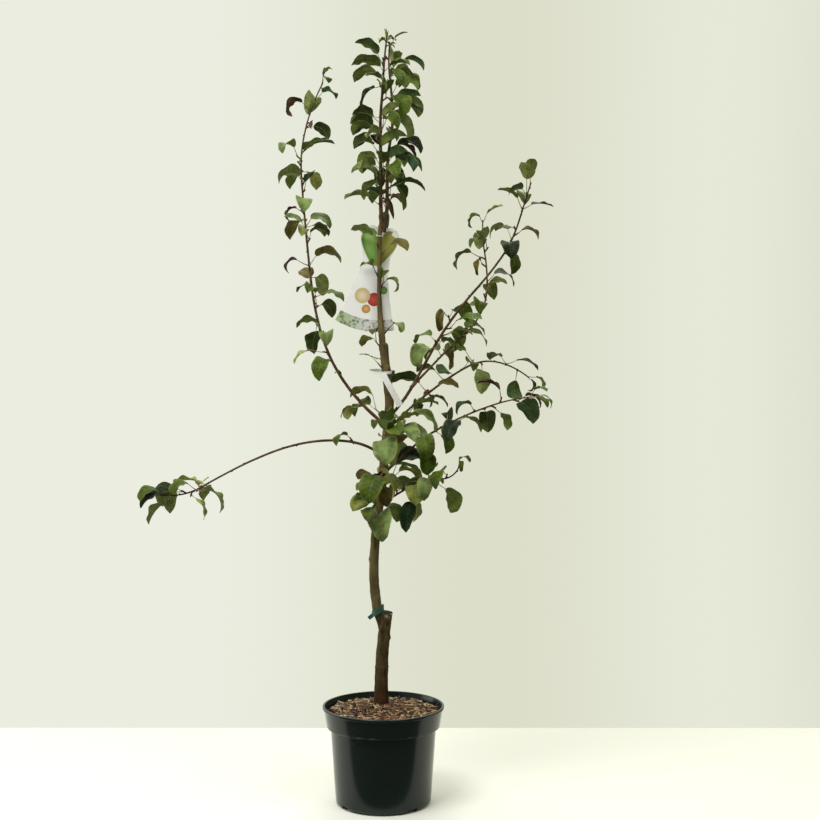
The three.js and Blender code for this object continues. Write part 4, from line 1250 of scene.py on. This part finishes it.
def makeMulchBed():
    # a rough filled surface under the chips, down to the pot's floor
    m = mulchLook
    turns = np.arange(m["sides"]) * 2 * math.pi / m["sides"]
    outwardRadii = np.linspace(m["innerRing"], m["edgeRadius"] - m["gap"], m["rings"])
    radii = np.concatenate([[m["pole"]], outwardRadii])[::-1]
    x, y = radii[:, None] * np.cos(turns), radii[:, None] * np.sin(turns)
    top = np.stack([x, y, mulchHeight(x, y)], axis=-1)
    skirt = [*m["skirt"], (radii[0], m["skirtTop"])]
    low = np.stack([
        np.stack([radius * np.cos(turns), radius * np.sin(turns), height + 0 * turns], axis=-1)
        for radius, height in skirt
    ])
    shape = shells(np.concatenate([low, top])[None])
    makePiece("mulchBed", shape, [finishes["mulchBed"]], ["bark_mulch"])


def makeChips():
    # short bars, squarish in section, thinner at both ends and a little bowed:
    # centre + ahead * length * s + up * bow * length * (0.25 - s ** 2), and four corners round it
    c = chipLook
    source = np.random.default_rng(c["seed"])
    count, leaning = c["count"], c["leaning"]
    length = source.uniform(0, 1, count) ** c["shortness"]
    length = c["length"][0] + np.diff(c["length"]) * length
    width = source.uniform(*c["width"], count)
    thickness = source.uniform(*c["thickness"], count)
    edge = mulchLook["edgeRadius"] - c["edgeGap"] - length * c["inset"]
    radius = edge * np.sqrt(source.uniform(0, 1, count))
    around = source.uniform(0, 2 * math.pi, count)
    x, y = radius * np.cos(around), radius * np.sin(around)
    layer = source.uniform(0, c["layer"], count)
    bearing = source.uniform(0, 360, count)
    spread = source.normal(0, 1, count)
    rise = spread * source.choice(c["rises"], count, p=c["riseShares"])
    near = slice(0, leaning)
    radius = source.uniform(*c["footRadius"], leaning)
    x[near] = c["foot"][0] + radius * np.cos(around[near])
    y[near] = c["foot"][1] + radius * np.sin(around[near])
    layer[near] = (c["footRadius"][1] - radius) * c["pile"]
    bearing[near] = np.degrees(around[near]) + source.normal(180, c["leanSpread"], leaning)
    rise[near] = np.abs(rise[near]) + c["leanRise"]
    ahead = towards(rise, bearing)
    roll = np.radians(source.normal(0, c["roll"], count))[:, None]
    level = towards(np.zeros(count), bearing + 90)
    side = level * np.cos(roll) + np.cross(ahead, level) * np.sin(roll)
    up = np.cross(ahead, side)
    centre = np.stack([x, y, mulchHeight(x, y) + layer + c["seat"]], axis=-1)
    stations, taper = np.array(c["stations"]), np.array(c["taper"])
    bow = (0.25 - stations ** 2) * source.uniform(-c["bow"], c["bow"], (count, 1))
    rings = centre[:, None] + ahead[:, None] * (stations * length[:, None])[..., None]
    rings = rings + up[:, None] * (bow * length[:, None])[..., None]
    corners = np.array(c["corners"])
    sides = len(corners)
    shape = (count, len(stations), sides, 2)
    jitter = 1 + source.uniform(-c["jitter"], c["jitter"], shape)
    across = corners[:, 0] * jitter[..., 0] * (taper[:, None] * width[:, None, None] / 2)
    height = corners[:, 1] * jitter[..., 1] * (taper[:, None] * thickness[:, None, None] / 2)
    points = rings[:, :, None] + side[:, None, None] * across[..., None]
    points = points + up[:, None, None] * height[..., None]
    kinds = len(mulchLook["colours"])
    colours = source.choice(kinds, count, p=mulchLook["shares"])
    offset = np.hypot(x - c["redPlace"][0], y - c["redPlace"][1])
    redness = np.exp(-(offset / c["redReach"]) ** 2) * c["redShare"]
    colours[redness > source.uniform(0, 1, count)] = kinds - 1
    chosen = np.concatenate([
        np.repeat(colours, (len(stations) - 1) * sides), np.repeat(colours, 2 * sides),
    ])
    materials = [finishes[f"chip{k}"] for k in range(kinds)]
    makePiece(
        "barkChips", shells(points), materials, ["bark_mulch"], chosen,
        sharp=c["sharp"],
    )


# Labels and tie
labelLook = {
    "columns": 48, "rows": 90, "thickness": 0.7, "bow": 2.5, "flatDown": 0.15, "flatAcross": 0.3,
    "forward": 0.3,
    # the card's half width falls from the head to the neck and flares to the foot: how far down
    # the card and the change from the head's, how far below the neck and the change from the
    # neck's, and how far down the card and the half width there
    "headRows": [(36, -3.5), (52, -9.5)], "neckRows": [(0, 0.6), (34, 3.4)],
    "footRows": [(140, 40), (175, 51)],
}
bandLook = {
    "loopBand": 1.2, "loopThickness": 1.2, "loopLean": 3.0,
    # the ripple's scale, seed and depth; the strip is a little narrower than the source's
    "stripThickness": 0.5, "stripLean": 3.0, "stripRipple": (0.02, 31, 1.5), "stripWidth": 0.86,
    "stripBow": 2.2, "stripBowWaves": 1.1, "stripTwist": 0.35, "stripSteps": 24,
    # the tie's band is wider than the source's, and its tail starts to the right, back and up
    # from the band's left side, falls more steeply, and is shorter and wider
    "tieThickness": 0.9, "tieWider": 1.5, "tieTilt": 7.0, "tailStart": (2, -4, -8),
    "tailFall": 14, "tailLength": 0.8, "tailBow": 1.5, "tailWider": 2, "tailThickness": 0.8,
    "tailSteps": 12,
}


def makeCard():
    # a grid across and down the card: the two-lobed head is the upper edge, the foot's edge sags,
    # and the card is bowed by bow * (v - flatDown) * (a ** 2 - flatAcross)
    c, look = card, labelLook
    edge = c["headOffset"] + c["headRadius"]
    widths = [
        (c["headRadius"], edge), *((down, edge + more) for down, more in look["headRows"]),
        *((c["neckDrop"] + on, c["neckHalf"] + more) for on, more in look["neckRows"]),
        *look["footRows"], (c["length"], c["bottomHalf"]),
    ]
    a = np.linspace(1, -1, look["columns"] + 1)
    v = np.linspace(0, 1, look["rows"] + 1)[:, None]
    inLobe = np.clip(np.abs(a) * edge - c["headOffset"], -c["headRadius"], c["headRadius"])
    top = c["headRadius"] - np.sqrt(c["headRadius"] ** 2 - inLobe ** 2)
    bottom = c["length"] + c["bottomSag"] * (1 - a ** 2)
    down = top + v * (bottom - top)
    across = a * np.interp(down, *zip(*widths))
    tilt = math.radians(c["tilt"])
    x = c["top"][0] + across * math.cos(tilt) - down * math.sin(tilt)
    z = c["top"][2] - across * math.sin(tilt) - down * math.cos(tilt)
    bow = look["bow"] * (v - look["flatDown"]) * (a ** 2 - look["flatAcross"])
    y = c["top"][1] + bow + look["forward"]
    front = np.stack([x, y, z], axis=-1)
    back = front + np.array([0, look["thickness"], 0])
    ring = np.concatenate([front, back[:, ::-1]], axis=1)
    u = across / c["bottomHalf"] / 2 + 0.5
    flat = np.stack([u, down / (c["length"] + c["bottomSag"])], axis=-1)
    uv = np.concatenate([flat, flat[:, ::-1]], axis=1)
    uv = np.concatenate([uv.reshape(-1, 2), [[0.5, 0], [0.5, 1]]])
    sides = ring.shape[1]
    printed = np.arange(sides) < look["columns"]
    chosen = np.concatenate([np.tile(~printed, look["rows"]), np.ones(2 * sides, dtype=bool)])
    makePiece(
        "hangingLabel", shells(ring[None]), [finishes["cardFront"], finishes["cardBack"]],
        ["label_card"], chosen.astype(int), uv,
    )


def ribbon(centres, across, facing, width, thickness):
    # a flat band along a path: across is its width's way and facing its face's way
    w, h = across * width / 2, facing * thickness / 2
    return np.stack([centres + w + h, centres - w + h, centres - w - h, centres + w - h], axis=1)


def ovalPath(centre, half, height, count=64):
    # centre + half * (cos(turn), sin(turn)), level at one height, and the ways out from it
    turns = np.linspace(0, 2 * math.pi, count, endpoint=False)
    out = np.stack([np.cos(turns), np.sin(turns), 0 * turns], axis=-1)
    path = np.array([*centre, height]) + out * np.array([*half, 0])
    return path, out


def closedBand(path, out, band, thickness):
    # a band that closes on itself: four rings of corners, joined round
    up = np.array([0, 0, band / 2])
    corners = [path - up, path + out * thickness - up, path + out * thickness + up, path + up]
    points = np.stack(corners, axis=1)
    count = len(points)
    k, i = np.meshgrid(np.arange(count), np.arange(4), indexing="ij")
    a, b = k * 4 + i, k * 4 + (i + 1) % 4
    c, d = (k + 1) % count * 4 + (i + 1) % 4, (k + 1) % count * 4 + i
    quads = np.stack([a, d, c, b], axis=-1).reshape(-1, 4)
    return points.reshape(-1, 3), quads, np.zeros((0, 3), dtype=int)


def limbAt(limb, height):
    # a nearly upright limb's middle at a height
    return evenly(limb["line"], (height - limb["start"][2]) / limb["length"])


def makeLabelLoop():
    # a flat loop round the leader, that leans on it and carries the hanging label
    middle = limbAt(limbs["leader"], cardLoop["height"])
    centre = (middle[0], middle[1] + cardLoop["half"][1] - cardLoop["frontRoom"])
    path, out = ovalPath(centre, cardLoop["half"], cardLoop["height"])
    path[:, 2] += bandLook["loopLean"] * (path[:, 1] - centre[1]) / cardLoop["half"][1]
    shape = closedBand(path, out, bandLook["loopBand"], bandLook["loopThickness"])
    makePiece("labelLoop", shape, [finishes["strip"]], ["label_loop"])


def makeStrip():
    # a loop round the trunk, and the strip that hangs from it, a little bowed and twisted
    b = bandLook
    path, out = ovalPath(strip["loopCentre"], strip["loopHalf"], strip["loopHeight"])
    scale, seed, depth = b["stripRipple"]
    path[:, 2] += ripple(path, scale, seed) * depth + out[:, 1] * b["stripLean"]
    loop = closedBand(path, out, strip["band"], b["stripThickness"])
    t = np.linspace(0, 1, b["stripSteps"])[:, None]
    start, end = stripLine
    bow = np.array([0, -b["stripBow"], 0]) * np.sin(math.pi * t * b["stripBowWaves"])
    ahead = unit(end - start)
    across = np.cross(ahead, [0, 1, 0])
    twist = b["stripTwist"] * np.sin(math.pi * t)
    across = across * np.cos(twist) + np.array([0.0, 1, 0]) * np.sin(twist)
    facing = np.cross(across, ahead)
    width = strip["width"] * b["stripWidth"]
    centres = start + (end - start) * t + bow
    hanging = shells(ribbon(centres, across, facing, width, b["stripThickness"])[None])
    shape = gathered([loop, hanging])
    makePiece("stripLabel", shape, [finishes["strip"]], ["label_strip"])


def makeTie():
    # a band round the graft, higher on its right, with its loose end down to the left
    b = bandLook
    middle = limbAt(limbs["scion"], tie["height"])
    path, out = ovalPath(middle[:2], (tie["inside"], tie["inside"]), tie["height"])
    path[:, 2] += out[:, 0] * b["tieTilt"]
    band = closedBand(path, out, tie["band"] + b["tieWider"], b["tieThickness"])
    steps = b["tailSteps"]
    t = np.linspace(0, 1, steps)[:, None]
    right, back, up = b["tailStart"]
    start = np.array([middle[0] - tie["inside"] + right, middle[1] + back, tie["height"] + up])
    fall = math.radians(tie["tailFall"] + b["tailFall"])
    ahead = np.array([-math.cos(fall), 0, -math.sin(fall)])
    bow = np.array([0, -b["tailBow"], 0]) * np.sin(math.pi * t)
    centres = start + ahead * tie["tail"][0] * b["tailLength"] * t + bow
    across = np.tile(np.cross(ahead, [0, 1, 0]), (steps, 1))
    facing = np.tile([0.0, 1, 0], (steps, 1))
    width = tie["tail"][1] + b["tailWider"]
    tail = shells(ribbon(centres, across, facing, width, b["tailThickness"])[None])
    makePiece("graftTie", gathered([band, tail]), [finishes["tie"]], ["graft_tie"])


# Finishes of this object
veinLook = {"pairs": 8, "slant": 1.5, "sharpness": 6}
scorchShade = "#35220f"


def veinsOf(leaf, fromRib, v):
    # pairs of side veins that run forwards from the midrib to the edge
    return (v * veinLook["pairs"] - fromRib * veinLook["slant"]).wave() ** veinLook["sharpness"]


def leafTop(name, top, under):
    # clouds of two shades of the tint, with pale veins and midrib, a painted highlight along the
    # edge and scorched spots
    leaf = Finish(name, Roughness=0.45, Specular_IOR_Level=0.1)
    u, v = leaf.uv()
    fromRib = (u * 2 - 1).abs()
    veins = veinsOf(leaf, fromRib, v)
    cloud = leaf.noise(48, 4)
    colour = leaf.mixed(cloud.between(0.35, 0.68), shadeOf(top, 0.62), shadeOf(top, 1.4))
    colour = leaf.mixed(veins * 0.25, colour, shadeOf(under, 1.0))
    scorched = leaf.noise(26, 5) + fromRib ** 2 * 0.22
    colour = leaf.mixed(scorched.between(0.72, 0.8) * 0.85, colour, scorchShade)
    # painted highlight: the edge is lightened, as if it caught the light along the rim
    colour = leaf.mixed(fromRib.between(0.7, 1.0) * 0.4, colour, shadeOf(under, 1.25))
    rib = 1 - fromRib.between(0.0, 0.05)
    leaf.vary("Base Color", leaf.mixed(rib * 0.5, colour, shadeOf(under, 1.1)))
    leaf.relief(veins * -1.0, 0.0004, 0.5)
    return leaf


def leafUnder(name, under):
    # the paler, duller underside, where the veins stand out
    leaf = Finish(name, Roughness=0.7, Specular_IOR_Level=0.08)
    u, v = leaf.uv()
    veins = veinsOf(leaf, (u * 2 - 1).abs(), v)
    cloud = leaf.noise(80, 3).between(0.35, 0.7)
    colour = leaf.mixed(cloud, shadeOf(under, 1.15), shadeOf(under, 0.7))
    leaf.vary("Base Color", leaf.mixed(veins * 0.3, colour, shadeOf(under, 1.2)))
    leaf.relief(veins, 0.0004, 0.5)
    return leaf


def trunkBark():
    # grained bark in patches, darker and older towards the foot, with pale lenticels
    bark = Finish("bark", Roughness=0.85, Specular_IOR_Level=0.1)
    grain = bark.noise(140, 5, (1, 1, 0.25))
    patches = bark.noise(28, 4, (1, 1, 0.5))
    older = 1 - bark.along(2).between(0.2, 0.47)
    colour = bark.mixed(patches.between(0.35, 0.65), shades["bark"], shades["barkPale"])
    colour = bark.mixed(older * 0.8, colour, shades["rootBark"])
    foot = 1 - bark.along(2).between(0.2, 0.28)
    colour = bark.mixed(foot * 0.6, colour, shades["footBark"])
    colour = bark.mixed(grain.between(0.5, 0.72) * 0.7, colour, shades["barkDark"])
    lenticels = 1 - bark.cells(240, (1, 1, 2.2)).between(0.12, 0.2)
    bark.vary("Base Color", bark.mixed(lenticels * 0.45, colour, shades["barkPale"]))
    bark.relief(grain + patches * 0.5, 0.0012, 0.7)
    return bark


def twigBark():
    # two browns in clouds, with pale lenticels
    young = Finish("youngBark", Roughness=0.65, Specular_IOR_Level=0.12)
    cloud = young.noise(90, 3, (1, 1, 0.5))
    lenticels = 1 - young.cells(330).between(0.1, 0.2)
    colour = young.mixed(cloud.between(0.35, 0.7), shades["youngBark"], shades["youngBarkPale"])
    young.vary("Base Color", young.mixed(lenticels * 0.5, colour, shades["youngLenticels"]))
    young.relief(cloud, 0.0006, 0.5)
    return young


def cutWood():
    # weathered wood with pale spots
    cut = Finish("cutWood", Roughness=0.8, Specular_IOR_Level=0.15)
    spots = cut.noise(230, 3).between(0.48, 0.62)
    cut.vary("Base Color", cut.mixed(spots, shades["cutWood"], shades["cutPale"]))
    cut.relief(spots, 0.0006, 0.5)
    return cut


smallParts = {
    "bud": ("#2e1f16", 0.6), "stalk": ("#7c8a4a", 0.5), "pinkStalk": ("#8d6a4a", 0.5),
    # the last is a near-black painted shade on the stub's cut top and in its hollow
    "driedLeaf": ("#3a261b", 0.8), "cutTop": ("#1f160f", 0.85),
}
plainSheets = {
    "cardBack": ("#f2f2ea", 0.6), "strip": ("#f8f8f4", 0.5), "tie": ("#2b5a4a", 0.5),
}


def smallPart(name, colour, rough):
    # one colour with a faint cloud, by its roughness
    part = Finish(name, Roughness=rough)
    cloud = part.noise(200, 2).between(0.35, 0.65)
    part.vary("Base Color", part.mixed(cloud, colour, shadeOf(colour, 1.3)))
    return part


def plainSheet(name, colour, rough):
    # the labels' bare plastic and the tie's rubber
    sheet = Finish(name, Roughness=rough)
    cloud = sheet.noise(120, 3).between(0.3, 0.7)
    sheet.vary("Base Color", sheet.mixed(cloud, colour, shadeOf(colour, 0.93)))
    sheet.relief(cloud, 0.0003, 0.3)
    return sheet


def potPlastic():
    # glossy black plastic with faint dust, upright scuffs, and rubbed spots along the foot of the
    # rim band
    plastic = Finish("potPlastic", Roughness=0.3, Specular_IOR_Level=0.33)
    grain = plastic.noise(900, 2)
    scuffs = plastic.noise(55, 6, (1, 1, 0.3)).between(0.66, 0.78)
    dust = plastic.noise(7, 4).between(0.45, 0.8) * 0.3
    colour = plastic.mixed(dust, *potLook["plastic"])
    colour = plastic.mixed(scuffs * 0.25, colour, potLook["scuffed"])
    offset = plastic.along(2) * (1 / mm) - potLook["bandFoot"] - potLook["rubbedAbove"]
    spots = plastic.noise(60, 4).between(0.45, 0.7)
    rubbed = (1 - offset.abs().between(*potLook["rubbedReach"])) * spots
    plastic.vary("Base Color", plastic.mixed(rubbed * 0.35, colour, potLook["rubbed"]))
    plastic.vary("Roughness", plastic.noise(12, 4) * 0.12 + scuffs * 0.2 + 0.12)
    plastic.relief(grain, 0.0001, 0.12)
    return plastic


def bedSoil():
    # damp dark compost
    bed = Finish("mulchBed", Roughness=0.95)
    lumps = bed.noise(300, 5).between(0.35, 0.65)
    bed.vary("Base Color", bed.mixed(lumps, *mulchLook["soil"]))
    bed.relief(bed.noise(250, 5), 0.002, 0.8)
    return bed


def chipBark(name, colour):
    # fibrous, and darker between the fibres
    chip = Finish(name, Roughness=0.85)
    fibres = chip.noise(500, 3)
    chip.vary("Base Color", chip.mixed(fibres.between(0.3, 0.7), shadeOf(colour, 0.7), colour))
    chip.relief(fibres, 0.0004, 0.6)
    return chip


def makeFinishes():
    made = {
        "bark": trunkBark(), "youngBark": twigBark(), "cutWood": cutWood(),
        "plastic": potPlastic(), "mulchBed": bedSoil(), "cardFront": cardPrint(),
    }
    for name, (top, under) in leafTints.items():
        made[name + "Leaf"] = leafTop(name + "Leaf", top, under)
        made[name + "Under"] = leafUnder(name + "Under", under)
    for name, (colour, rough) in smallParts.items():
        made[name] = smallPart(name, colour, rough)
    for k, colour in enumerate(mulchLook["colours"]):
        made[f"chip{k}"] = chipBark(f"chip{k}", colour)
    for name, (colour, rough) in plainSheets.items():
        made[name] = plainSheet(name, colour, rough)
    return made


printLook = {
    # each drop is widest at dropTop, reaches so far above and below it, and stands off the
    # card's middle line, which it leans towards as it goes down to dropFoot
    "dropTop": 27.0, "dropFoot": 84.0, "dropAbove": 22, "dropBelow": 57, "dropHalf": 17.5,
    "dropOffset": 20.5, "dropLean": 17,
    "dropLeft": ("#94bd62", "#6c9c3e"), "dropRight": ("#a5a350", "#8f8f3a"), "paper": "#fafaf6",
    # each fruit: across, down, radius, colour in the middle and at the rim
    "fruits": [
        (10, 150, 14, "#d8584c", "#b23a34"), (-15, 146, 16, "#efe3bd", "#d5bd85"),
        (-3, 172, 9, "#e0b76a", "#c08a48"), (26, 128, 8, "#8fb25a", "#5f8838"),
    ],
    "rim": 0.8,
    # the foot's band: its upper edge, how far it arches, and its speckles, green and then grey
    "bandTop": 192, "bandArch": 0.0032, "greens": ("#5f7a4c", "#b4c59c"),
    "greys": ("#7b7f78", "#d9dbd2"), "greyFrom": (-45, 5),
}


def cardPrint():
    # a plain print on the card's own map: two drops of colour in the head, round fruits in the
    # middle and a band of speckled green at the foot
    p = printLook
    front = Finish("cardFront", Roughness=0.4, Specular_IOR_Level=0.3)
    u, v = front.uv()
    x = (u - 0.5) * (2 * card["bottomHalf"])
    y = v * (card["length"] + card["bottomSag"])
    # a drop is (across / half width) ** 2 + (down / reach) ** 2, with a longer reach below
    top, below = p["dropTop"], 1 / p["dropBelow"] ** 2
    lean = y.between(top, p["dropFoot"]) * p["dropLean"]
    above = (1 - y.between(top - 0.1, top + 0.1)) * (1 / p["dropAbove"] ** 2 - below)
    across = (x.abs() - p["dropOffset"] + lean) * (1 / p["dropHalf"])
    drop = across ** 2 + (y - top) ** 2 * (above + below)
    side = x.between(-1, 1)
    inner, outer = (
        front.mixed(side, left, right) for left, right in zip(p["dropLeft"], p["dropRight"])
    )
    colour = front.mixed(drop.between(0.1, 0.7), inner, outer)
    colour = front.mixed(drop.between(0.86, 1.0), colour, p["paper"])
    for atX, atY, size, middle, edge in p["fruits"]:
        reach = ((x - atX) ** 2 + (y - atY) ** 2) ** 0.5
        fruit = front.mixed(reach.between(0, size), middle, edge)
        colour = front.mixed(reach.between(size - p["rim"], size + p["rim"]), fruit, colour)
    foot = (y + x ** 2 * p["bandArch"]).between(p["bandTop"], p["bandTop"] + 1)
    speckle = (front.noise(160, 3) + front.cells(150) * 0.4).between(0.45, 0.75)
    greens, greys = (front.mixed(speckle, *p[kind]) for kind in ("greens", "greys"))
    band = front.mixed(x.between(*p["greyFrom"]), greens, greys)
    front.vary("Base Color", front.mixed(foot, colour, band))
    return front


def makeFloor():
    # a pale painted floor with a faint cloud, that turns darker in front
    paint = Finish("floorPaint", Roughness=0.75)
    cloud = paint.noise(1.5, 3).between(0.2, 0.8)
    colour = paint.mixed(cloud, studio["floor"], shadeOf(studio["floor"], 0.985))
    pale = paint.along(1).between(*studio["frontEdge"])
    paint.vary("Base Color", paint.mixed(pale, studio["frontFloor"], colour))
    reach, back = studio["floorReach"], studio["floorBack"]
    mesh = bpy.data.meshes.new("floor")
    corners = [(-reach, -reach, 0), (reach, -reach, 0), (reach, back, 0), (-reach, back, 0)]
    mesh.from_pydata(corners, [], [(0, 1, 2, 3)])
    mesh.materials.append(paint.material)
    floor = bpy.data.objects.new("floor", mesh)
    bpy.context.collection.objects.link(floor)


def makeRoom():
    # the light from all round: the room's colour from front to back, times the share that is
    # left of it from the left side to the right
    world = bpy.data.worlds.new("studio")
    bpy.context.scene.world = world
    room = Graph(world)
    aside, depth, _ = room.split(room.node("ShaderNodeTexCoord", {}).at("Generated"))
    shares = [
        (place, (share, share, share ** studio["bluePower"], 1))
        for place, share in studio["fromLeft"]
    ]
    walls, fall = (
        room.node("ShaderNodeValToRGB", settings, room.node("ShaderNodeMapRange", {}, way, -1))
        for settings, way in (
            ({"stops": studio["room"]}, depth),
            ({"interpolation": "EASE", "stops": shares}, aside),
        )
    )
    light = room.node("ShaderNodeVectorMath", {"operation": "MULTIPLY"}, walls, fall)
    room.node("ShaderNodeOutputWorld", {}, room.node("ShaderNodeBackground", {}, light))


def makeLights():
    for k, (spot, target, width, power) in enumerate(studio["lights"]):
        light = bpy.data.lights.new(f"soft{k}", "AREA")
        light.shape = "SQUARE"
        light.size = width
        light.energy = power
        lamp = bpy.data.objects.new(f"soft{k}", light)
        lamp.location = spot
        way = Vector(target) - Vector(spot)
        lamp.rotation_euler = way.to_track_quat("-Z", "Y").to_euler()
        bpy.context.collection.objects.link(lamp)


shootNodes = ["shoot_" + name for name in shoots]
foliageNodes = ["leaves_" + name for name in [*boughLimbs, *leaderLimbs]] + shootNodes

makeCamera()
makeFloor()
makeRoom()
makeLights()
bpy.context.scene.view_settings.view_transform = "Standard"
finishes = makeFinishes()
print("stage and finishes made")
makePot()
makeMulchBed()
makeChips()
print("pot and mulch made")
makeBark()
makeTwigs()
makeBuds()
print("bark, twigs and buds made")
leaderNodes = ["leaves_" + name for name in leaderLimbs]
makeBlades("bladesLeaders", leaderNodes, folded=bladeLook["leaderFold"])
makeBlades("bladesLeft", ["leaves_upper_left", "leaves_lower_left"])
rightBoughs = ["upper_right", "inner_right", "middle_right", "low_right"]
makeBlades("bladesRight", ["leaves_" + name for name in rightBoughs])
makeBlades("bladesTrunk", ["leaves_lowest_right", *shootNodes])
makeStalks()
print("leaves made")
makeCard()
makeLabelLoop()
makeStrip()
makeTie()
print("labels and tie made")
